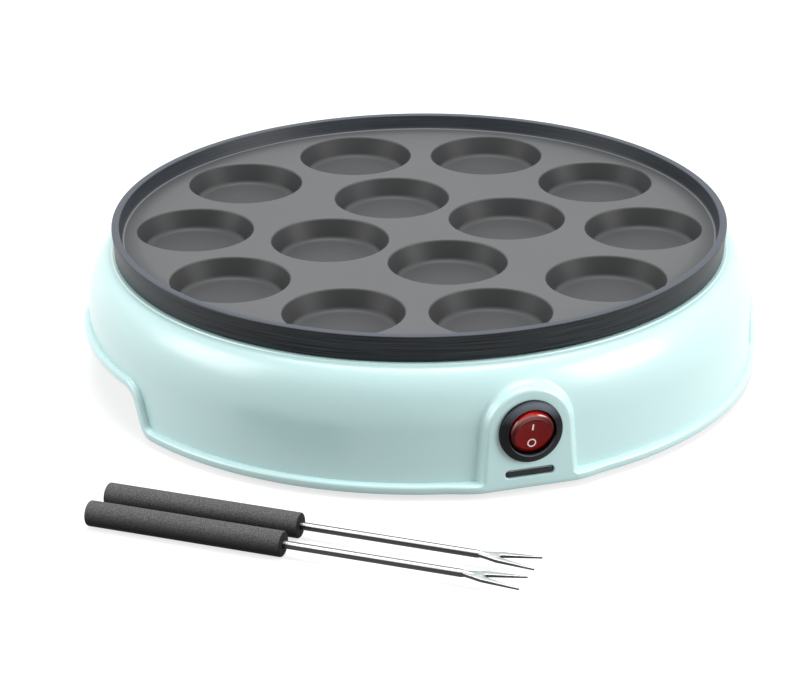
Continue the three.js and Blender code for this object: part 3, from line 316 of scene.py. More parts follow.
def shades(tree, factor, colour, low, high):
    """A colour that drifts between two of its shades."""
    return mixed(tree, factor, tint(colour, low), tint(colour, high))


# --- effects that more than one finish uses ---

EFFECTS = {}


def effect(name, inputs, outputs):
    """An empty node group with float inputs and outputs, and the sockets at its two ends."""
    tree = EFFECTS[name] = bpy.data.node_groups.new(name, "ShaderNodeTree")
    for label, default in inputs.items():
        socket = tree.interface.new_socket(
            name=label, in_out="INPUT", socket_type="NodeSocketFloat")
        socket.default_value = default
    for label in outputs:
        tree.interface.new_socket(name=label, in_out="OUTPUT", socket_type="NodeSocketFloat")
    given, result = tree.nodes.new("NodeGroupInput"), tree.nodes.new("NodeGroupOutput")
    return tree, given.outputs, result.inputs


def grain_effect():
    """Fine grain for bumps, and broad soft blotches for colour and gloss."""
    tree, given, result = effect("Grain", {"Scale": 900.0, "Spread": 18.0}, ["Fine", "Broad"])
    place = coordinate(tree)
    for output, scale, detail, roughness in (
            ("Fine", "Scale", 3.0, 0.6), ("Broad", "Spread", 2.0, 0.5)):
        noise = add(
            tree, "TexNoise", Vector=place, Scale=given[scale], Detail=detail,
            Roughness=roughness)
        connect(result[output], noise.outputs["Fac"])


def turning_effect():
    """Fine lines that run round the maker's axis, as a lathe or a spun mould leaves them."""
    tree, given, result = effect(
        "Turning Lines", {"Pitch": 1500.0, "Length": 2.5}, ["Lines", "Radius"])
    place = split(tree)
    flat = add(tree, "CombineXYZ", X=place["X"], Y=place["Y"]).outputs[0]
    radius = measured(tree, "LENGTH", flat)
    direction = vector(tree, "NORMALIZE", flat)
    along = vector(tree, "SCALE", direction, Scale=given["Length"])
    across = product(tree, calculated(tree, "ADD", radius, place["Z"]), given["Pitch"])
    upright = add(tree, "CombineXYZ", Z=across).outputs[0]
    noise = add(
        tree, "TexNoise", Vector=vector(tree, "ADD", along, upright), Scale=1.0,
        Detail=2.0, Roughness=0.7)
    connect(result["Lines"], noise.outputs["Fac"])
    connect(result["Radius"], radius)


def facing_effect():
    """How far a surface faces up, from 0 at Low to 1 at High."""
    tree, given, result = effect("Facing Up", {"Low": 0.0, "High": 1.0}, ["Up"])
    height = split(tree, "Normal")["Z"]
    connect(result["Up"], remap(tree, height, 0.0, 1.0, given["Low"], given["High"]))


def use_effect(tree, name, **inputs):
    """The outputs of an effect, placed with its own values."""
    node = add(tree, "Group")
    node.node_tree = EFFECTS[name]
    return feed(node, **inputs).outputs


def facing_up(tree, low, high):
    return use_effect(tree, "Facing Up", Low=low, High=high)["Up"]


# --- finishes ---

def blank_finish(name):
    material = bpy.data.materials.new(name)
    material.use_nodes = True
    return material, material.node_tree


def dressed(material, height, distance, **sockets):
    """The material, with its shader's inputs connected and a bump of a distance by a height."""
    tree = material.node_tree
    relief = add(tree, "Bump", Strength=1.0, Distance=distance, Height=height)
    feed(tree.nodes["Principled BSDF"], Normal=relief.outputs["Normal"], **sockets)
    return material


def moulded(name, colour, gloss, grain=900.0, depth=0.00001, vary=0.05, **sockets):
    """Moulded or rolled stock: a slight grain, and colour and gloss that drift a little."""
    material, tree = blank_finish(name)
    texture = use_effect(tree, "Grain", Scale=grain, Spread=22.0)
    broad = texture["Broad"]
    return dressed(
        material, texture["Fine"], depth,
        Base_Color=shades(tree, broad, colour, 1 - vary, 1 + vary),
        Roughness=remap(tree, broad, *gloss), **sockets)


def metal(name, colour, gloss=(0.16, 0.26), grain=500.0, depth=0.000006):
    return moulded(name, colour, gloss, grain, depth, 0.06, Metallic=1.0)


def mint_finish(name, colour, gloss):
    """Satin mint plastic with the faint level lines of its mould.

    It has a painted highlight along the crown of its rolled edge, and painted shade at that edge's
    foot.
    """
    material, tree = blank_finish(name)
    grain = use_effect(tree, "Grain", Scale=1300.0, Spread=14.0)
    lines = use_effect(tree, "Turning Lines", Pitch=2200.0, Length=2.6)["Lines"]
    height = split(tree)["Z"]
    # Painted highlight: a paler colour where the rolled edge's crown faces up.
    crown = product(tree, falls(tree, height, LIP_HIGHLIGHT_SPAN), facing_up(tree, 0.3, 0.8))
    plain = shades(tree, grain["Broad"], colour, 0.965, 1.03)
    crown_highlighted = mixed(tree, crown, plain, tint(colour, 1.12))
    # Painted shade: a darker colour along the rolled edge's foot.
    return dressed(
        material, calculated(tree, "MULTIPLY_ADD", lines, 0.12, grain["Fine"]), 0.00003,
        Base_Color=mixed(tree, falls(tree, height, LIP_FOOT_SHADE_SPAN), crown_highlighted, tint(colour, 0.76)),
        Roughness=remap(tree, lines, *gloss), IOR=1.5, Coat_Roughness=0.24, Coat_Weight=0.7)


def coating_finish():
    """Dark nonstick coating: satin in the tray, deeper in the pits, with turning lines on the rim.

    The tray near the rim, the pits and the rim's walls carry painted shade, the tray's corner a
    painted highlight line, and the rim's edge a painted sheen.
    """
    colour = settings("plate").colour
    cool = (colour[0] * 0.85, colour[1], colour[2] * 1.15)
    material, tree = blank_finish("nonstick coating")
    grain = use_effect(tree, "Grain", Scale=1700.0, Spread=16.0)
    broad = grain["Broad"]
    turning = use_effect(tree, "Turning Lines", Pitch=2600.0, Length=3.0)
    lines, radius = turning["Lines"], turning["Radius"]
    height = split(tree)["Z"]
    streaks = rises(tree, lines, (0.4, 0.66))
    off_corner = calculated(tree, "ABSOLUTE", calculated(tree, "SUBTRACT", radius, CORNER_RADIUS))
    rim = rises(tree, radius, RIM_INSIDE_SPAN)
    base = shades(tree, broad, colour, 0.87, 1.13)
    for mask, top in (
            # Painted shade: the tray darkens towards the rim.
            (rises(tree, radius, TRAY_SHADE_SPAN), shades(tree, broad, colour, 0.5, 0.66)),
            # Painted shade: the pits are dark, darkest on their walls and less so on their floors.
            (falls(tree, height, PIT_SHADE_SPAN), shades(tree, broad, colour, 0.2, 0.3)),
            (falls(tree, height, PIT_FLOOR_SHADE_SPAN), shades(tree, broad, colour, 0.5, 0.68)),
            # Painted shade: the rim's walls are darker than the tray and the outer wall darkest,
            # with the turning streaks through them.
            (rim, shades(tree, streaks, cool, 0.17, 0.34)),
            (rises(tree, radius, RIM_OUTSIDE_SPAN), shades(tree, streaks, cool, 0.0, 0.32)),
            # Painted highlight: a pale line round the corner between the tray and the rim's inner
            # wall.
            (remap(tree, off_corner, 0.75, 0.0, *CORNER_HIGHLIGHT_SPAN), tint(colour, 1.7)),
            # Painted sheen: a paler colour along the top of the rim's lip.
            (rises(tree, height, RIM_EDGE_SHEEN_SPAN), (0.062, 0.072, 0.088))):
        base = mixed(tree, mask, base, top)
    gloss = mixed(tree, rim, remap(tree, broad, 0.44, 0.52), remap(tree, lines, 0.3, 0.5), "FLOAT")
    return dressed(
        material, mixed(tree, rim, grain["Fine"], lines, "FLOAT"), 0.00003,
        Base_Color=base, Roughness=gloss, IOR=1.4, Specular_IOR_Level=0.3)


def bezel_finish():
    """Fine matt black plastic, with a painted sheen where it faces up."""
    colour = settings("switch").black
    material, tree = blank_finish("black bezel plastic")
    grain = use_effect(tree, "Grain", Scale=1200.0, Spread=40.0)
    # Painted sheen: paler where the ring stands out and faces up.
    painted_sheen = product(tree, falls(tree, split(tree)["Y"], BEZEL_SHEEN_SPAN), facing_up(tree, 0.16, 0.44))
    return dressed(
        material, grain["Fine"], 0.000006,
        Base_Color=mixed(tree, painted_sheen, colour, tint(colour, 15.0)),
        Roughness=remap(tree, grain["Broad"], 0.28, 0.4), IOR=1.36, Specular_IOR_Level=0.14)


def lens_finish():
    """Smoked clear plastic, with a painted highlight along its upper edge."""
    material, tree = blank_finish("smoked lens")
    grain = use_effect(tree, "Grain", Scale=600.0, Spread=90.0)
    smoke, lit = (0.002, 0.006, 0.008), (0.22, 0.27, 0.28)
    # Painted highlight: the lit colour where the lens's crown faces up.
    return dressed(
        material, grain["Fine"], 0.000002,
        Base_Color=mixed(tree, facing_up(tree, 0.4, 0.56), smoke, lit),
        Roughness=remap(tree, grain["Broad"], 0.08, 0.14), IOR=1.36)


def rocker_finish():
    """Clear red plastic: deep over the lamp, glossy on its upper shoulder, with painted light and
    shade on its skirt, darker to the right and underneath.
    """
    colour = settings("switch").red
    material, tree = blank_finish("clear red plastic")
    grain = use_effect(tree, "Grain", Scale=700.0, Spread=160.0)
    away = measured(tree, "DISTANCE", coordinate(tree), ROCKER_CENTRE)
    edge = rises(tree, away, ROCKER_FACE_SPAN)
    # Painted light and shade: the skirt is lighter where it faces up and darker to the right and
    # underneath; the shoulder's coat takes the same mask.
    lit = product(
        tree, remap(tree, split(tree)["X"], 1.0, 0.1, *ROCKER_RIGHT_SHADE_SPAN),
        facing_up(tree, -0.1, 0.5))
    shoulder = product(tree, edge, falls(tree, away, ROCKER_SHOULDER_SPAN))
    deep = shades(tree, grain["Broad"], colour, 0.32, 0.56)
    skirt = shades(tree, lit, colour, 0.2, 0.85)
    return dressed(
        material, grain["Fine"], 0.000003, Base_Color=mixed(tree, edge, deep, skirt),
        Roughness=remap(tree, grain["Fine"], 0.1, 0.15), IOR=1.49, Specular_IOR_Level=0.08,
        Coat_Weight=product(tree, shoulder, lit), Coat_Roughness=0.04, Coat_IOR=2.6)


def grip_finish():
    """Dull foam grip with pale specks, and painted shade on its end toward the rod and underneath.
    """
    colour = settings("forks").colour
    material, tree = blank_finish("speckled grip")
    specks = add(tree, "TexVoronoi", Vector=coordinate(tree), Scale=2600.0)
    fine = use_effect(tree, "Grain", Scale=2400.0, Spread=900.0)["Fine"]
    base = shades(tree, remap(tree, fine, 0.0, 1.0), colour, 0.55, 1.15)
    base = mixed(tree, falls(tree, specks.outputs["Distance"], (0.1, 0.5)), base, tint(colour, 2.0))
    # Painted shade: darker on the end face toward the rod and where the grip faces down.
    endways = measured(tree, "DOT_PRODUCT", coordinate(tree, "Normal"), FORK_AXIS)
    base = mixed(tree, rises(tree, endways, (0.45, 0.8)), base, tint(colour, 0.18))
    base = mixed(tree, facing_up(tree, -0.4, 0.75), tint(colour, 0.08), base)
    return dressed(
        material, fine, 0.0001, Base_Color=base, Roughness=remap(tree, fine, 0.65, 0.85),
        IOR=1.35, Specular_IOR_Level=0.15)


def fork_steel_finish():
    """Drawn steel with painted light and shade: bright where it faces up, over the rod's upper side
    and the blade, dark elsewhere, with a painted dark reflection along the rod's top.
    """
    material, tree = blank_finish("fork steel")
    grain = use_effect(tree, "Grain", Scale=700.0, Spread=60.0)
    along = measured(tree, "DOT_PRODUCT", coordinate(tree), FORK_AXIS)
    # Painted reflection: a dark line along the rod's very top, short of the neck.
    drawn = product(tree, facing_up(tree, 0.9, 0.94), falls(tree, along, NECK_SPAN))
    # Painted light and shade: bright where the steel faces up, dark where it faces sideways and
    # down.
    bright = mixed(tree, facing_up(tree, 0.5, 0.64), (0.05, 0.05, 0.052), (0.72, 0.72, 0.73))
    return dressed(
        material, grain["Fine"], 0.000004,
        Base_Color=mixed(tree, drawn, bright, (0.2, 0.2, 0.205)),
        Roughness=remap(tree, grain["Broad"], 0.32, 0.42), Metallic=1.0)


def make_finishes():
    """One finish for each slot of the record, and the marks on the rocker."""
    for make in (grain_effect, turning_effect, facing_effect):
        make()
    mint, lead = settings("housing").colour, (0.5, 0.6)
    return {
        "nonstick": coating_finish(),
        "housing_mint": mint_finish("mint plastic", mint, (0.34, 0.4)),
        "cover_mint": mint_finish("mint cover plastic", tint(mint, 0.82), (0.4, 0.5)),
        "rubber_black": moulded(
            "black rubber", (0.012, 0.012, 0.013), (0.7, 0.85), 1500.0, 0.00003),
        "bezel_black": bezel_finish(),
        "rocker_red": rocker_finish(),
        "lens_smoked": lens_finish(),
        "steel_bright": metal("bright steel", (0.72, 0.73, 0.75)),
        "steel_zinc": metal(
            "zinc plated steel", (0.56, 0.58, 0.6), (0.28, 0.4), 900.0, 0.00001),
        "shield_aluminium": metal(
            "pressed aluminium", (0.76, 0.77, 0.78), (0.3, 0.45), 300.0, 0.00002),
        "sheath_steel": metal("element sheath", (0.2, 0.2, 0.21), (0.4, 0.6), 800.0, 0.00002),
        "brass": metal("brass", (0.78, 0.56, 0.22), (0.2, 0.35), 700.0, 0.00001),
        "ceramic_white": moulded(
            "white ceramic", (0.78, 0.76, 0.7), (0.45, 0.6), 800.0, 0.00003),
        "lamp_glass": moulded(
            "lamp glass", (0.75, 0.42, 0.3), (0.05, 0.1), 400.0, 0.000002, 0.08,
            Coat_Weight=0.4),
        "grip_charcoal": grip_finish(),
        "fork_steel": fork_steel_finish(),
        "lead_brown": moulded("brown lead", (0.14, 0.045, 0.015), lead),
        "lead_blue": moulded("blue lead", (0.03, 0.12, 0.38), lead),
        "lead_sleeve": moulded("woven sleeve", (0.68, 0.66, 0.62), (0.75, 0.9), 1800.0, 0.00006),
        "lead_green": moulded("green lead", (0.12, 0.32, 0.05), lead),
        "marks": moulded("white marks", settings("switch").mark, (0.4, 0.5), 900.0, 0.000004, 0.04),
    }


FINISHES = {}


# --- shared modelling steps ---

def turned_by(degrees, axis):
    return Matrix.Rotation(radians(degrees), 4, axis)


def out_of_panel(height, depth=0.0):
    """Axes on the panel, or behind its face: X stays, Y goes up and Z comes out."""
    return Matrix.Translation((0.0, PANEL + depth, height)) @ turned_by(90, "X")


def polar(radius, angle, height=0.0):
    return Vector((radius * cos(angle), radius * sin(angle), height))


def clamp(value):
    return min(1.0, max(0.0, value))


def rounded(corners, steps):
    """Points of a line through [across, up, radius] corners, each turned into an arc."""
    points = [Vector(corners[0][:2])]
    for last, corner, following in zip(corners, corners[1:], corners[2:]):
        tip = Vector(corner[:2])
        if corner[2] == 0:
            points.append(tip)
            continue
        back = (Vector(last[:2]) - tip).normalized()
        onward = (Vector(following[:2]) - tip).normalized()
        half = back.angle(onward) / 2
        middle = tip + (back + onward).normalized() * (corner[2] / sin(half))
        reach = corner[2] / tan(half)
        start = tip + back * reach - middle
        end = tip + onward * reach - middle
        angle = atan2(start.y, start.x)
        sweep = (atan2(end.y, end.x) - angle + pi) % tau - pi
        for step in range(steps + 1):
            turn = angle + sweep * step / steps
            points.append(middle + corner[2] * Vector((cos(turn), sin(turn))))
    points.append(Vector(corners[-1][:2]))
    return points


def curve_through(start, corner, end, steps):
    """Points of a quadratic curve after its start."""
    for step in range(1, steps + 1):
        share = step / steps
        yield start * (1 - share) ** 2 + corner * (2 * share * (1 - share)) + end * share ** 2


def arc_points(centre, half_width, half_height, start, end, steps):
    """Points of a quarter ellipse or less, by its angle in degrees."""
    for step in range(steps + 1):
        turn = radians(start + (end - start) * step / steps)
        yield Vector((centre[0] + half_width * cos(turn), centre[1] + half_height * sin(turn)))


def mirrored(points):
    """The points in reverse order, on the other side of the middle."""
    return [Vector((-point.x, point.y)) for point in reversed(points)]


def turned(profile, sides):
    """A bmesh spun round Z from [radius, height] points."""
    bm = bmesh.new()
    verts = [bm.verts.new((point[0], 0.0, point[1])) for point in profile]
    edges = [bm.edges.new(pair) for pair in zip(verts, verts[1:])]
    bmesh.ops.spin(
        bm, geom=verts + edges, cent=(0, 0, 0), axis=(0, 0, 1), dvec=(0, 0, 0), angle=tau,
        steps=sides, use_merge=True, use_duplicate=False)
    bmesh.ops.remove_doubles(bm, verts=bm.verts, dist=1e-4)
    bmesh.ops.recalc_face_normals(bm, faces=bm.faces)
    return bm


def lathed(corners, steps, sides):
    """A bmesh spun round Z from [radius, height, rounding] corners."""
    return turned(rounded(corners, steps), sides)


def wrapped(rows, through):
    """A bmesh sheet through closed rows of points; through joins the last row to the first."""
    across, down = len(rows[0]), len(rows)
    rows_drawn = down if through else down - 1
    bm = bmesh.new()
    bmesh.ops.create_grid(bm, x_segments=across, y_segments=rows_drawn, size=1.0)
    for vert in bm.verts:
        column = round((vert.co.x + 1) / 2 * across) % across
        row = round((vert.co.y + 1) / 2 * rows_drawn) % down
        vert.co = rows[row][column]
    bmesh.ops.remove_doubles(bm, verts=bm.verts, dist=1e-4)
    return bm


def verts_in(items):
    return [item for item in items if isinstance(item, bmesh.types.BMVert)]


def edges_of(verts):
    return list(dict.fromkeys(edge for vert in verts for edge in vert.link_edges))


def fill(bm, edges):
    """Fills the area between closed loops of edges."""
    bmesh.ops.triangle_fill(bm, use_beauty=True, use_dissolve=False, edges=edges)


def shift(bm, **along):
    """Moves a whole bmesh along the axes that are named."""
    offset = [along.get(axis, 0.0) for axis in "xyz"]
    bmesh.ops.translate(bm, vec=offset, verts=bm.verts)


def drawn_on(bm, edges, move):
    """Extrudes edges once, moves the new vertices and returns the new edges."""
    made = bmesh.ops.extrude_edge_only(bm, edges=edges)["geom"]
    verts = set(verts_in(made))
    for vert in verts:
        vert.co = move(vert.co)
    return [item for item in made
            if isinstance(item, bmesh.types.BMEdge) and verts.issuperset(item.verts)]


def rings_on(bm, edges, profile, centre=(0.0, 0.0)):
    """Extrudes a round loop through [radius, height] points about an upright line."""
    middle = Vector((centre[0], centre[1], 0.0))
    for radius, height in profile:
        def move(co):
            flat = Vector((co.x, co.y, 0.0)) - middle
            return middle + flat.normalized() * radius + Vector((0.0, 0.0, height))
        edges = drawn_on(bm, edges, move)
    return edges


def circle(bm, radius, sides, place):
    """The edges of a new loop, placed by a matrix."""
    return edges_of(
        bmesh.ops.create_circle(bm, segments=sides, radius=radius, matrix=place)["verts"])


def level_circle(bm, radius, height, sides, centre=(0.0, 0.0)):
    return circle(bm, radius, sides, Matrix.Translation((centre[0], centre[1], height)))


def close_loop(bm, edges, point):
    """Closes a loop of edges at one point."""
    drawn_on(bm, edges, lambda co: Vector(point))


def mesh_from(name, bm):
    """A new mesh from a bmesh, which is freed."""
    mesh = bpy.data.meshes.new(name)
    bm.to_mesh(mesh)
    bm.free()
    return mesh


def new_object(name, data):
    made = bpy.data.objects.new(name, data)
    bpy.context.scene.collection.objects.link(made)
    return made


def to_metres(bm):
    bmesh.ops.scale(bm, vec=(MM, MM, MM), verts=bm.verts)


def piece(name, bm, slot, body="base", stands_for="", sharp=38.0, place=None, finish=None):
    """Makes the object from a bmesh in millimetres, and gives it its finish, body and node."""
    if place is not None:
        bmesh.ops.transform(bm, matrix=place, verts=bm.verts)
    to_metres(bm)
    bmesh.ops.remove_doubles(bm, verts=bm.verts, dist=1e-7)
    bmesh.ops.recalc_face_normals(bm, faces=bm.faces)
    mesh = mesh_from(name, bm)
    mesh.shade_smooth()
    mesh.set_sharp_from_angle(angle=radians(sharp))
    made = new_object(name, mesh)
    mesh.materials.append(FINISHES[finish or slot])
    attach(made, body)
    if stands_for:
        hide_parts(stands_for)
    return made


def merged(first, other):
    """Puts the other bmesh into the first."""
    mesh = mesh_from("part", other)
    first.from_mesh(mesh)
    bpy.data.meshes.remove(mesh)
    return first


def cut_by(made, cutter):
    """Cuts a finished piece with a bmesh in millimetres, and keeps the result as its mesh."""
    to_metres(cutter)
    bmesh.ops.recalc_face_normals(cutter, faces=cutter.faces)
    mesh = mesh_from("cutter", cutter)
    tool = new_object("cutter", mesh)
    modifier = made.modifiers.new("cut", "BOOLEAN")
    modifier.operation = "DIFFERENCE"
    modifier.solver = "EXACT"
    modifier.object = tool
    graph = bpy.context.evaluated_depsgraph_get()
    result = bpy.data.meshes.new_from_object(made.evaluated_get(graph))
    clean = bmesh.new()
    clean.from_mesh(result)
    bmesh.ops.dissolve_degenerate(clean, edges=clean.edges, dist=1e-7)
    clean.to_mesh(result)
    clean.free()
    old = made.data
    made.modifiers.clear()
    made.data = result
    result.name = old.name
    bpy.data.meshes.remove(old)
    bpy.data.objects.remove(tool)
    bpy.data.meshes.remove(mesh)


# --- cooking plate ---

class PANCAKE_OT_cooking_plate(bpy.types.Operator):
    """Cast plate with a raised rim, a shallow tray and fourteen pits"""
    bl_idname = "pancake.cooking_plate"
    bl_label = "Cooking Plate"

    def execute(self, context):
        radius, tray_depth, pit, foot, pit_depth = sizes(
            "plate", "radius", "tray", "pit_radius", "pit_foot", "pit_depth")
        tray = RIM_TOP - tray_depth
        floor = tray - pit_depth
        centres = [polar(ring, radians(angle)) for ring, angle in OUTER_PITS + INNER_PITS]

        def pits_on(rim, reach, height, sides, profile, bottom):
            loops = [level_circle(bm, reach, height, sides, centre) for centre in centres]
            fill(bm, rim + [edge for loop in loops for edge in loop])
            for loop, centre in zip(loops, centres):
                inner = rings_on(bm, loop, profile, centre)
                close_loop(bm, inner, (centre.x, centre.y, bottom))

        bm = bmesh.new()
        rim = level_circle(bm, radius - 7.0, tray, 288)
        bowl = rounded([
            (pit + 0.55, tray, 0), (pit - 0.1, tray, 0.6), (foot + 0.25, floor, 2.4),
            (foot - 4.0, floor, 0),
        ], 7)
        pits_on(rim, pit + 0.9, tray, 72, [*bowl, (foot * 0.5, floor)], floor)
        outer_foot = radius - 0.9
        rim = rings_on(bm, rim, rounded([
            (radius - 6.6, tray, 0), (radius - 3.8, tray, 1.1), (radius - 2.8, RIM_TOP, 0.4),
            (radius, RIM_TOP, 0.45), (outer_foot, PLATE_FOOT, 0.4),
            (outer_foot - 3.3, PLATE_FOOT, 0.3), (outer_foot - 3.3, TRAY_UNDER, 0),
        ], 6))
        under = floor - PIT_WALL
        cup = rounded([
            (pit + 1.7, TRAY_UNDER - 0.2, 0), (foot + 2.6, under, 1.6), (foot - 4, under, 0)], 4)
        pits_on(rim, pit + 2.0, TRAY_UNDER, 48, cup, under)
        piece("cooking_plate_cast", bm, "nonstick", stands_for="cooking_plate")
        return {"FINISHED"}


# --- housing ---

def notch_line():
    """The rolled edge's centre line across one notch, as [sideways, height] points."""
    rise, half_top, half_foot = sizes("housing", "notch_rise", "notch_top", "notch_foot")
    top = BEAD + rise
    corner, foot = Vector((half_top, top)), Vector((half_foot, BEAD))
    side = (foot - corner).normalized()
    before, after = Vector((half_top - NOTCH_BEND, top)), corner + side * NOTCH_BEND
    above, out = foot - side * NOTCH_FLARE, Vector((half_foot + NOTCH_FLARE, BEAD))
    line = [Vector((before.x * step / 13, top)) for step in range(14)]
    line += curve_through(before, corner, after, 14)
    line += [after.lerp(above, step / 4) for step in range(1, 5)]
    line += curve_through(above, foot, out, 14)
    return mirrored(line[1:]) + line


def rolled_edge():
    """The rolled edge round the whole housing, as (angle, height, direction into the wall)."""
    radius, = sizes("housing", "radius")
    notch = [(asin(point.x / radius), point.y) for point in notch_line()]
    reach = notch[-1][0]
    plain = [(reach + (pi - 2 * reach) * step / 120, BEAD) for step in range(1, 120)]
    half = notch + plain
    line = half + [(angle + pi, height) for angle, height in half]
    edge = []
    for index, (angle, height) in enumerate(line):
        last, following = line[index - 1], line[(index + 1) % len(line)]
        run = (following[0] - last[0] + pi) % tau - pi
        along = Vector((radius * run, following[1] - last[1])).normalized()
        edge.append((angle, height, Vector((-along.y, along.x))))
    return edge


def lip_reach(angle):
    """How far the rolled edge stands out of the wall: it runs flush across the panel's foot."""
    radius, proud, panel_foot = sizes("housing", "radius", "bead_proud", "panel_foot")
    aside = abs((angle - pi / 2) % tau - pi)
    corner = asin(panel_foot / radius)
    flush = (-PANEL - FLUSH) / cos(min(aside, corner)) - radius
    share = clamp((aside - corner) / LIP_FADE)
    return flush + (proud - flush) * share * share * (3 - 2 * share)


def wall_radius(height, angle):
    """The housing's outer radius at a height and an angle, away from the notches."""
    radius, bead = sizes("housing", "radius", "bead_height")
    if height > SHOULDER:
        share = min(1.0, (height - SHOULDER) / (LEDGE_TOP - STEP_DEPTH - SHOULDER))
        return SHOULDER_RADIUS + (radius - SHOULDER_RADIUS) * sqrt(1 - share ** 2)
    share = clamp((height - BEAD - bead / 2 + LIP_CROWN) / LIP_CROWN)
    return radius + lip_reach(angle) * sqrt(1 - share ** 2)


def lip_section(reach):
    """The rolled edge's section as [out, up]: crowned top, plain face, flat foot, inner wall."""
    wall, bead = sizes("housing", "wall", "bead_height")
    half = bead / 2
    face = half - LIP_CROWN
    return list(arc_points((0, face), reach, LIP_CROWN, 81, 0, 9)) + rounded([
        (reach, face - 0.1, 0), (reach, -half, 0.5), (-wall, -half, 0.3), (-wall, 0, 0)], 5)


def housing_rows():
    """Rows of points round the shell: ledge, shoulder, wall, rolled edge, and back up inside."""
    radius, wall, bead = sizes("housing", "radius", "wall", "bead_height")
    half = bead / 2
    edge = rolled_edge()
    spread = [angle + into.x * half / radius for angle, _, into in edge]
    foot = [height + into.y * half for _, height, into in edge]

    step_foot = LEDGE_TOP - STEP_DEPTH
    top = rounded([
        (LEDGE_RADIUS, LEDGE_TOP - wall, 0), (LEDGE_RADIUS, LEDGE_TOP, 0.3),
        (STEP_RADIUS, LEDGE_TOP, 0.3), (STEP_RADIUS + 0.28, step_foot + 0.02, 0.2),
        (SHOULDER_RADIUS + 0.45, step_foot - 0.02, 0),
    ], 4)
    top += arc_points(
        (SHOULDER_RADIUS, SHOULDER), radius - SHOULDER_RADIUS, step_foot - SHOULDER, 87, 0, 30)

    def rings(profile):
        return [[polar(point.x, angle, point.y) for angle in spread] for point in profile]

    rows = rings(top)
    for step in range(1, 11):
        share = step / 10
        rows.append([
            polar(radius, angle, SHOULDER + (low - SHOULDER) * share)
            for angle, low in zip(spread, foot)])
    sections = [lip_section(lip_reach(angle)) for angle, _, _ in edge]
    for spots in zip(*sections):
        rows.append([
            polar(radius + spot.x, angle + into.x * spot.y / radius, height + into.y * spot.y)
            for spot, (angle, height, into) in zip(spots, edge)])
    for step in range(1, 5):
        share = step / 4
        rows.append([
            polar(radius - wall, angle + (wide - angle) * share,
                  height + (SHOULDER - height) * share)
            for (angle, height, _), wide in zip(edge, spread)])
    inside = arc_points(
        (SHOULDER_RADIUS, SHOULDER), radius - wall - SHOULDER_RADIUS,
        LEDGE_TOP - wall - SHOULDER, 9, 88, 9)
    return rows + rings(inside)


def stadium(bm, half_length, half_height, depth, sides=48):
    """The edges of a new round-ended loop, at the lens, at a depth behind the panel's face."""
    verts = bmesh.ops.create_circle(
        bm, segments=sides, radius=half_height,
        matrix=out_of_panel(LENS, depth) @ Matrix.Rotation(pi / sides, 4, "Z"))["verts"]
    for vert in verts:
        vert.co.x += copysign(half_length - half_height, vert.co.x)
    return edges_of(verts)


def stadium_on(bm, edges, half_length, steps):
    """Extrudes a round-ended loop through (half height, depth) steps."""
    lens_height, = sizes("switch", "lens_height")
    straight = half_length - lens_height
    for half_height, depth in steps:
        def move(co):
            end = Vector((copysign(min(abs(co.x), straight), co.x), 0.0, LENS))
            reach = (Vector((co.x, 0.0, co.z)) - end).normalized() * half_height
            return Vector((end.x + reach.x, PANEL + depth, end.z + reach.z))
        edges = drawn_on(bm, edges, move)
    return edges


def panel_outline():
    """The panel's outline as (point, outward direction), anticlockwise from its foot's middle.

    The foot ends just inside the rolled edge, so that no two faces share a plane there.
    """
    arch, foot, bead = sizes("housing", "arch", "panel_foot", "bead_height")
    sill, corner = BEAD - bead / 2 + 0.08, 1.6
    right = rounded([(0, sill, 0), (foot, sill, corner), (arch, SWITCH, 0)], 8)
    start, end = Vector((0, sill)), Vector((foot - corner, sill))
    line = [end * (step / 8) + start * (1 - step / 8) for step in range(8)]
    line += right[1:-1]
    line += [right[-2].lerp(right[-1], (step / 28) ** 1.6) for step in range(1, 28)]
    line += [Vector((arch * cos(turn), SWITCH + arch * sin(turn)))
             for turn in (pi / 2 * step / 32 for step in range(33))]
    line += mirrored(line[1:-1])
    outline = []
    for index, point in enumerate(line):
        along = (line[(index + 1) % len(line)] - line[index - 1]).normalized()
        outline.append((point, Vector((along.y, -along.x))))
    return outline


def panel_rows():
    """Rows of points from the panel's hidden back, over its skirt and edge, to its face."""
    radius, = sizes("housing", "radius")
    columns = []
    for point, away in panel_outline():
        flare = clamp((0.8 + away.y) / 0.6)

        def skin(reach):
            spot = point + away * reach
            around = wall_radius(spot.y, asin(spot.x / radius) - pi / 2)
            shell = -sqrt(around ** 2 - spot.x ** 2)
            return flare * shell + (1 - flare) * (PANEL + 4.0)

        shrink = min(1.0, 0.92 * (skin(0.0) - PANEL) / 3.1)
        hollow, edge = 1.7 * shrink, (0.5 + 0.9 * flare) * shrink
        reach = (hollow + 0.35) * flare
        column = [(-2.2, PANEL + PANEL_FACE), (reach, skin(reach) + 0.35),
                  (reach, skin(reach) - 0.02)]
        for step in range(1, SKIRT_STEPS + 1):
            turn = radians(90 - 90 * step / SKIRT_STEPS)
            spot = (hollow * (1 - cos(turn)) + 0.35) * flare
            column.append((spot, skin(spot) - hollow * (1 - sin(turn))))
        for step in range(EDGE_STEPS + 1):
            turn = radians(90 * step / EDGE_STEPS)
            column.append((edge * (cos(turn) - 1), PANEL + edge * (1 - sin(turn))))
        column.append((-edge - 0.25, PANEL))
        spots = [(point + away * reach, depth) for reach, depth in column]
        columns.append([Vector((spot.x, depth, spot.y)) for spot, depth in spots])
    return list(zip(*columns))


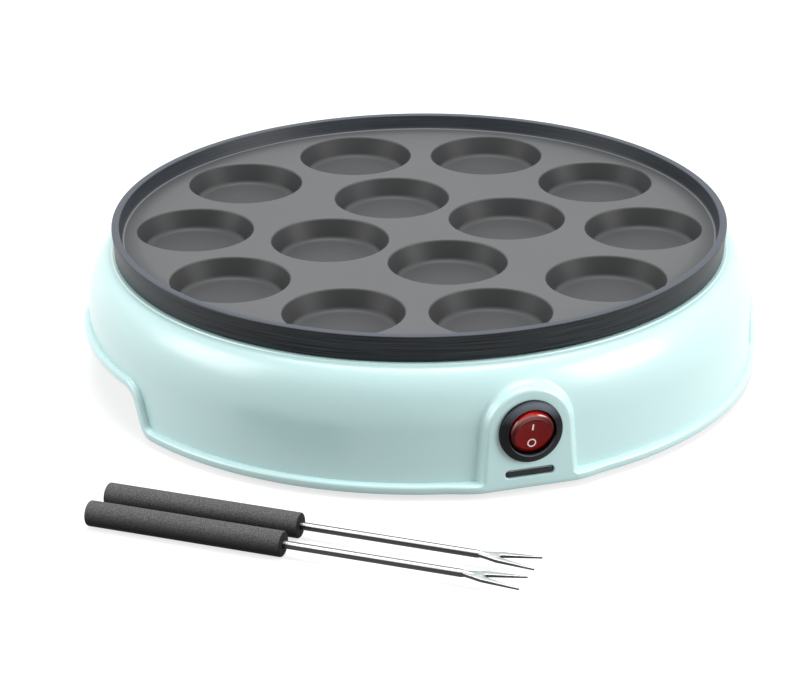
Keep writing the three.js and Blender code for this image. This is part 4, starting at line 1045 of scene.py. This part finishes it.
def through_panel(half_length, half_height):
    """A cutter for the shell behind the panel: the switch's hole and the lens's slot."""
    cutter = bmesh.new()
    bmesh.ops.create_cone(
        cutter, cap_ends=True, segments=64, radius1=SWITCH_HOLE + 0.3, radius2=SWITCH_HOLE + 0.3,
        depth=16.0, matrix=out_of_panel(SWITCH, 6.0))
    slot_sides = 48
    slot = stadium(cutter, half_length + 0.5, half_height + 0.5, -2.0, slot_sides)
    bmesh.ops.contextual_create(cutter, geom=slot)
    slot_face = [face for face in cutter.faces if len(face.verts) == slot_sides]
    back = bmesh.ops.extrude_face_region(cutter, geom=slot_face)
    bmesh.ops.translate(cutter, vec=(0.0, 14.0, 0.0), verts=verts_in(back["geom"]))
    return cutter


class PANCAKE_OT_housing(bpy.types.Operator):
    """Moulded shell with its rolled edge, grip notches and switch panel"""
    bl_idname = "pancake.housing"
    bl_label = "Housing"

    def execute(self, context):
        half_length, half_height = sizes("switch", "lens_length", "lens_height")
        shell = piece(
            "housing_shell", wrapped(housing_rows(), True), "housing_mint", stands_for="housing")
        cut_by(shell, through_panel(half_length, half_height))

        rows = panel_rows()
        bm = wrapped(rows, False)

        def loop_at(depth):
            loop = [edge for edge in bm.edges if edge.is_boundary
                    and all(abs(vert.co.y - depth) < 1e-3 for vert in edge.verts)]
            if len(loop) != len(rows[0]):
                raise RuntimeError("the panel's outline isn't closed")
            return loop

        back = PANEL + PANEL_FACE
        face_loop, back_loop = loop_at(PANEL), loop_at(back)
        hole = circle(bm, SWITCH_HOLE, 96, out_of_panel(SWITCH))
        slot = stadium(bm, half_length + 0.75, half_height + 0.75, 0.0)
        fill(bm, face_loop + hole + slot)
        hole = drawn_on(bm, hole, lambda co: Vector((co.x, back, co.z)))
        turns = [radians(turn) for turn in range(0, 91, 15)]
        lip = [(half_height + 0.5 * (1 - sin(turn)), 0.5 * (1 - cos(turn))) for turn in turns]
        slot = stadium_on(bm, slot, half_length, lip + [(half_height, PANEL_FACE)])
        fill(bm, back_loop + hole + slot)
        piece("housing_panel", bm, "housing_mint", stands_for="housing", sharp=50.0)
        return {"FINISHED"}


# --- switch and pilot lens ---

def dish(distance):
    """The height of the rocker's face over the ball's centre, at a distance from its middle."""
    return FACE_RISE - DISH_DEPTH * (1 - (distance / FACE_RADIUS) ** 2)


class PANCAKE_OT_switch(bpy.types.Operator):
    """Round bezel with its rocker and the marks on it"""
    bl_idname = "pancake.switch"
    bl_label = "Rocker Switch"

    def execute(self, context):
        bezel, proud, ball = sizes("switch", "bezel", "proud", "ball")
        well = ball + 0.4
        body = lathed([
            (0, -20.0, 0), (9.8, -20.0, 0.6), (9.8, 0.03, 0), (bezel, 0.03, 0),
            (bezel, proud - 1.2, 0.7), (well + 0.12, proud + 0.05, 0.1), (well, proud - 0.12, 0.06),
            (well, -9.0, 0), (0, -9.0, 0),
        ], 6, 128)
        upright = out_of_panel(SWITCH)
        piece("switch_bezel", body, "bezel_black", stands_for="switch_body", place=upright)

        tilted = (
            upright @ Matrix.Translation((0.0, 0.0, PIVOT)) @ turned_by(REST_TILT, "X")
            @ Matrix.Translation((0.0, 0.0, -BALL_BACK)))
        across = [FACE_RADIUS * step / 24 for step in range(24)]
        face = [Vector((distance, dish(distance))) for distance in across]
        skirt = list(arc_points((0, 0), ball, ball, 12, -40, 26))
        shoulder = arc_points(
            (FACE_RADIUS, skirt[0].y), skirt[0].x - FACE_RADIUS, FACE_RISE - 0.12 - skirt[0].y,
            80, 8, 12)
        brow = rounded([
            (*face[-1], 0), (FACE_RADIUS, FACE_RISE, 0.12),
            (FACE_RADIUS + 0.24, FACE_RISE - 0.12, 0),
        ], 4)
        cap = face[:-1] + brow + list(shoulder)[1:] + skirt + [Vector((0.0, skirt[-1].y))]
        piece("rocker_cap", turned(cap, 128), "rocker_red", body="rocker",
              stands_for="switch_rocker", place=tilted)

        stroke = bmesh.new()
        bmesh.ops.create_cube(stroke, size=1.0, matrix=Matrix.Diagonal((0.6, 2.6, 0.16, 1.0)))
        corners = [edge for edge in stroke.edges
                   if abs(edge.verts[0].co.z - edge.verts[1].co.z) > 0.1]
        bmesh.ops.bevel(
            stroke, geom=corners, offset=0.2, segments=4, profile=0.5, affect="EDGES", material=-1)
        shift(stroke, y=ON_UP)
        ring = lathed([
            (1.19, -0.08, 0), (1.6, -0.08, 0.02), (1.6, 0.08, 0.04), (1.16, 0.08, 0.04),
            (1.16, -0.08, 0.02), (1.19, -0.08, 0),
        ], 2, 64)
        shift(ring, y=OFF_UP)
        for name, mark in (("rocker_mark_on", stroke), ("rocker_mark_off", ring)):
            for vert in mark.verts:
                rise = MARK_PROUD if vert.co.z > 0 else -MARK_SUNK
                vert.co.z = dish(hypot(vert.co.x, vert.co.y)) + rise
            piece(name, mark, "rocker_red", body="rocker", finish="marks", place=tilted)
        return {"FINISHED"}


class PANCAKE_OT_pilot_lens(bpy.types.Operator):
    """Smoked lens in the slot under the switch"""
    bl_idname = "pancake.pilot_lens"
    bl_label = "Pilot Lens"

    def execute(self, context):
        half_length, half_height = sizes("switch", "lens_length", "lens_height")
        play = 0.12
        half = half_height - play
        bm = bmesh.new()
        loop = stadium(bm, half_length - play, half, 4.0)
        bmesh.ops.contextual_create(bm, geom=loop)
        turns = [radians(turn) for turn in (0, 12, 24, 36, 48, 60, 70, 80)]
        crown = [(half * cos(turn), 1.05 - 0.75 * sin(turn)) for turn in turns]
        loop = stadium_on(bm, loop, half_length, [(half, 1.4), *crown])
        bmesh.ops.contextual_create(bm, geom=loop)
        piece("pilot_bar", bm, "lens_smoked", stands_for="pilot_lens")
        return {"FINISHED"}


# --- feet, screws and gland ---

def foot_pad():
    """A rubber foot with its button through the cover."""
    return lathed([
        (0, TABLE + 0.4, 0), (3.2, TABLE + 0.4, 0.3), (3.9, TABLE, 0.3), (6.0, TABLE, 0.5),
        (7.0, -SEAT_GAP, 0.6), (2.8, -SEAT_GAP, 0.2), (2.8, 2.5, 0.1), (3.9, 2.5, 0.2),
        (2.0, 5.1, 0.3), (0, 5.1, 0),
    ], 4, 48)


def cross_screw(length):
    """A pan head screw that points up from z = 0."""
    return lathed([
        (0, -2.2, 0), (2.6, -2.05, 1.5), (3.7, -0.9, 0.6), (3.7, 0, 0.1), (1.8, 0, 0.1),
        (1.8, length - 1.2, 0.2), (0.7, length, 0.2), (0, length, 0),
    ], 4, 32)


def gland_sleeve():
    """The cord's gland: a flange, a neck and a tail with four ribs."""
    ribs = []
    for index in range(4):
        height, taper = 3.4 + 2.3 * index, 0.12 * index
        ribs += [(5.0 - taper, height, 0.3), (5.0 - taper, height + 1.1, 0.3),
                 (4.3 - taper, height + 1.3, 0.2), (4.3 - taper, height + 2.1, 0.2)]
    return lathed([
        (3.3, -4.7, 0), (6.5, -4.7, 0.3), (6.5, -2.8, 0.2), (5.2, -2.8, 0.2), (5.2, 0.3, 0),
        (7.5, 0.3, 0.2), (7.5, 2.3, 0.6), (4.9, 2.5, 0.3), *ribs[:-2], (4.1, 12.0, 0.3),
        (3.3, 12.0, 0.3), (3.3, -4.7, 0),
    ], 3, 64)


class PANCAKE_OT_fasteners(bpy.types.Operator):
    """Rubber feet, cover screws and the cord gland"""
    bl_idname = "pancake.fasteners"
    bl_label = "Feet, Screws and Gland"

    def execute(self, context):
        for index, angle in enumerate(FOOT_ANGLES, 1):
            place = Matrix.Translation(polar(FOOT_RING, radians(angle)))
            piece(f"foot_pad_{index}", foot_pad(), "rubber_black", stands_for=f"foot_{index}",
                  place=place)
        for index, angle in enumerate(SCREW_ANGLES, 1):
            place = Matrix.Translation(polar(SCREW_RING, radians(angle), -SEAT_GAP))
            made = piece(f"cover_screw_cross_{index}", cross_screw(12.0), "steel_zinc",
                         stands_for=f"cover_screw_{index}", place=place)
            for turn in (0, 90):
                slot = bmesh.new()
                bmesh.ops.create_cube(slot, size=1.0, matrix=(
                    turned_by(turn, "Z") @ Matrix.Translation((0.0, 0.0, -1.9))
                    @ Matrix.Diagonal((3.2, 0.8, 1.6, 1.0))))
                bmesh.ops.transform(slot, matrix=place, verts=slot.verts)
                cut_by(made, slot)
        piece("cord_gland_sleeve", gland_sleeve(), "bezel_black", stands_for="cord_gland",
              place=Matrix.Translation((0.0, REAR, GLAND)) @ turned_by(-90, "X"))
        return {"FINISHED"}


# --- forks ---

def fork_blade(neck_foot, tine_foot, length, rod, spread):
    """The flattened neck and its two tines, level, with Z along the fork and Y across it."""
    root, slot, tip, half = 3.1, 0.9, 0.4, 0.6
    side = [Vector((rod * 0.75, neck_foot))]
    side += curve_through(
        side[0], Vector((rod * 1.15, neck_foot + 2.6)), Vector((root, tine_foot)), 8)
    side += [
        Vector((spread, length - 0.5)),
        Vector((spread - 0.08, length - 0.12)),
        Vector((spread - tip / 2, length)),
        Vector((spread - tip, length - 0.2)),
    ]
    side += curve_through(
        Vector((slot + 0.2, tine_foot + 2.4)), Vector((slot * 0.9, tine_foot + 0.6)),
        Vector((0.0, tine_foot + 0.6)), 8)
    outline = side + mirrored(side[:-1])
    bm = bmesh.new()
    verts = [bm.verts.new((-half, point.x, point.y)) for point in outline]
    fill(bm, [bm.edges.new(pair) for pair in zip(verts, verts[1:] + verts[:1])])
    made = bmesh.ops.extrude_face_region(bm, geom=list(bm.faces))["geom"]
    bmesh.ops.translate(bm, vec=(2 * half, 0.0, 0.0), verts=verts_in(made))
    bmesh.ops.recalc_face_normals(bm, faces=bm.faces)
    rims = [edge for edge in bm.edges if edge.calc_face_angle(0.0) > 1.2
            and abs(edge.verts[0].co.x - edge.verts[1].co.x) < 0.1]
    bmesh.ops.bevel(
        bm, geom=rims, offset=0.14, segments=3, profile=0.5, affect="EDGES", material=-1)
    for vert in bm.verts:
        vert.co.x *= 1.0 - 0.4 * clamp((vert.co.z - tine_foot) / (length - tine_foot))
    return bm


class PANCAKE_OT_forks(bpy.types.Operator):
    """Two loose forks, each a grip and a steel rod with two tines"""
    bl_idname = "pancake.forks"
    bl_label = "Forks"

    def execute(self, context):
        length, grip, grip_radius, rod, tines, spread = sizes(
            "forks", "length", "grip", "grip_radius", "rod_radius", "tines", "spread")
        tine_foot = length - tines
        neck_foot = tine_foot - NECK_LENGTH
        socket = grip - ROD_IN_GRIP
        for name, (x, y) in FORKS.items():
            place = (
                Matrix.Translation((x, y, TABLE + 0.05 + grip_radius))
                @ turned_by(FORK_HEADING, "Z") @ turned_by(90, "Y"))
            handle = lathed([
                (0, 0, 0), (grip_radius, 0, 0.9), (grip_radius, grip, 0.8),
                (rod + 0.04, grip, 0.02), (rod + 0.04, socket, 0), (0, socket, 0),
            ], 5, 64)
            piece(name + "_grip", handle, "grip_charcoal", body=name,
                  stands_for=name + "_handle", place=place)
            shaft = lathed([
                (0, socket + 0.3, 0), (rod, socket + 0.3, 0.2), (rod, neck_foot - 0.5, 0.8),
                (0.55, neck_foot + 4.5, 0.4), (0, neck_foot + 4.5, 0),
            ], 4, 32)
            blade = fork_blade(neck_foot, tine_foot, length, rod, spread)
            piece(name + "_rod", merged(shaft, blade), "steel_bright", body=name,
                  stands_for=name + "_tines", place=place, finish="fork_steel")
        return {"FINISHED"}


# --- stage ---

def background_rays(tree):
    """1 for rays from the camera, from glossy surfaces and through clear ones."""
    path = add(tree, "LightPath").outputs
    seen = calculated(tree, "MAXIMUM", path["Is Camera Ray"], path["Is Glossy Ray"])
    return calculated(tree, "MAXIMUM", seen, path["Is Transmission Ray"])


def floor_finish(colour):
    """A white floor that glows where it is seen, and keeps the shadow."""
    material, tree = blank_finish("white floor")
    tree.nodes.clear()
    seen = background_rays(tree)
    matt = add(tree, "BsdfDiffuse", shades(tree, seen, colour, 0.2, 0.38))
    away = measured(tree, "LENGTH", coordinate(tree))
    glow = add(
        tree, "Emission", Color=colour,
        Strength=product(tree, seen, remap(tree, away, 0.7, 0.92, *FLOOR_SPAN)))
    both = add(tree, "AddShader", matt.outputs[0], glow.outputs[0])
    add(tree, "OutputMaterial", Surface=both.outputs[0])
    return material


def light_backdrop(tree, colour, strength):
    """An even light all round, and a plain backdrop where it is seen."""
    tree.nodes.clear()
    sky, plain = (
        add(tree, "Background", Color=colour, Strength=value).outputs[0]
        for value in (strength, 1.0))
    both = add(tree, "MixShader", background_rays(tree), sky, plain)
    add(tree, "OutputWorld", Surface=both.outputs[0])


def soft_light(name, location, width, height, power):
    light = bpy.data.lights.new(name, "AREA")
    light.shape = "RECTANGLE"
    light.size, light.size_y = width, height
    light.energy = power
    made = new_object(name, light)
    made.location = location
    towards = Vector(LIT_SPOT) - Vector(location)
    made.rotation_euler = towards.to_track_quat("-Z", "Y").to_euler()


def camera_place(distance):
    """Where the camera stands, and how it is turned."""
    side, rise = radians(CAMERA_SIDE), radians(CAMERA_RISE)
    back = Vector((sin(side) * cos(rise), -cos(side) * cos(rise), sin(rise)))
    right = Vector((cos(side), sin(side), 0.0))
    turn = Matrix((right, back.cross(right), back))
    for degrees, axis in ((CAMERA_YAW, "Y"), (CAMERA_PITCH, "X"), (CAMERA_ROLL, "Z")):
        turn = Matrix.Rotation(radians(degrees), 3, axis) @ turn
    place = turn.transposed().to_4x4()
    place.translation = Vector((0.0, 0.0, RIM_TOP * MM)) + back * distance
    return place


class PANCAKE_OT_stage(bpy.types.Operator):
    """White floor, soft lights and the camera"""
    bl_idname = "pancake.stage"
    bl_label = "Stage"

    def execute(self, context):
        stage, scene = settings("stage"), context.scene
        scene.view_settings.view_transform = "Standard"

        bm = bmesh.new()
        bmesh.ops.create_grid(bm, x_segments=1, y_segments=1, size=6.0)
        shift(bm, z=TABLE * MM)
        floor = new_object("floor", mesh_from("floor", bm))
        floor.data.materials.append(floor_finish(stage.colour))

        scene.world = scene.world or bpy.data.worlds.new("backdrop")
        scene.world.use_nodes = True
        light_backdrop(scene.world.node_tree, stage.colour, stage.sky)
        soft_light("overhead", (0.1, 0.1, 1.4), 1.2, 0.9, stage.key)
        soft_light("right", (1.05, -0.85, 0.5), 0.9, 0.8, stage.right)
        soft_light("left", (-1.35, 0.1, 0.6), 0.9, 0.8, stage.left)

        camera = new_object("camera", bpy.data.cameras.new("camera"))
        camera.data.lens = CAMERA_LENS
        camera.data.sensor_width = CAMERA_SENSOR
        camera.data.clip_end = 50.0
        camera.matrix_world = camera_place(stage.distance)
        scene.camera = camera
        return {"FINISHED"}


class PANCAKE_OT_finish_nodes(bpy.types.Operator):
    """Gives each part of the frame its finish"""
    bl_idname = "pancake.finish_nodes"
    bl_label = "Inner Parts"

    def execute(self, context):
        for part in frame["record"]["subparts"]:
            mesh = frame["nodes"][part["node"]].data
            mesh.materials.clear()
            mesh.materials.append(FINISHES[part["material_slot"]])
        return {"FINISHED"}


class PANCAKE_PT_panel(bpy.types.Panel):
    """Lists the steps that build the maker"""
    bl_label = "Pancake Maker"
    bl_idname = "PANCAKE_PT_panel"
    bl_space_type = "VIEW_3D"
    bl_region_type = "UI"
    bl_category = "Pancake Maker"

    def draw(self, context):
        for part, step in STEPS:
            box = self.layout.box()
            box.operator(step.bl_idname)
            if part:
                group = settings(part)
                for name in type(group).__annotations__:
                    box.prop(group, name)


STEPS = [
    ("stage", PANCAKE_OT_stage),
    ("plate", PANCAKE_OT_cooking_plate),
    ("housing", PANCAKE_OT_housing),
    ("switch", PANCAKE_OT_switch),
    ("", PANCAKE_OT_pilot_lens),
    ("", PANCAKE_OT_fasteners),
    ("forks", PANCAKE_OT_forks),
    ("", PANCAKE_OT_finish_nodes),
]
GROUPS = {
    "plate": PANCAKE_PG_plate,
    "housing": PANCAKE_PG_housing,
    "switch": PANCAKE_PG_switch,
    "forks": PANCAKE_PG_forks,
    "stage": PANCAKE_PG_stage,
}


def register():
    for name, group in GROUPS.items():
        bpy.utils.register_class(group)
        setattr(bpy.types.Scene, "pancake_" + name, bpy.props.PointerProperty(type=group))
    for _, step in STEPS:
        bpy.utils.register_class(step)
    bpy.utils.register_class(PANCAKE_PT_panel)


def unregister():
    bpy.utils.unregister_class(PANCAKE_PT_panel)
    for _, step in reversed(STEPS):
        bpy.utils.unregister_class(step)
    for name, group in GROUPS.items():
        delattr(bpy.types.Scene, "pancake_" + name)
        bpy.utils.unregister_class(group)


def main():
    register()
    FINISHES.update(make_finishes())
    bpy.ops.pancake.stage()
    bpy.ops.pancake.cooking_plate()
    bpy.ops.pancake.housing()
    bpy.ops.pancake.switch()
    bpy.ops.pancake.pilot_lens()
    bpy.ops.pancake.fasteners()
    bpy.ops.pancake.forks()
    bpy.ops.pancake.finish_nodes()


if __name__ == "__main__":
    main()
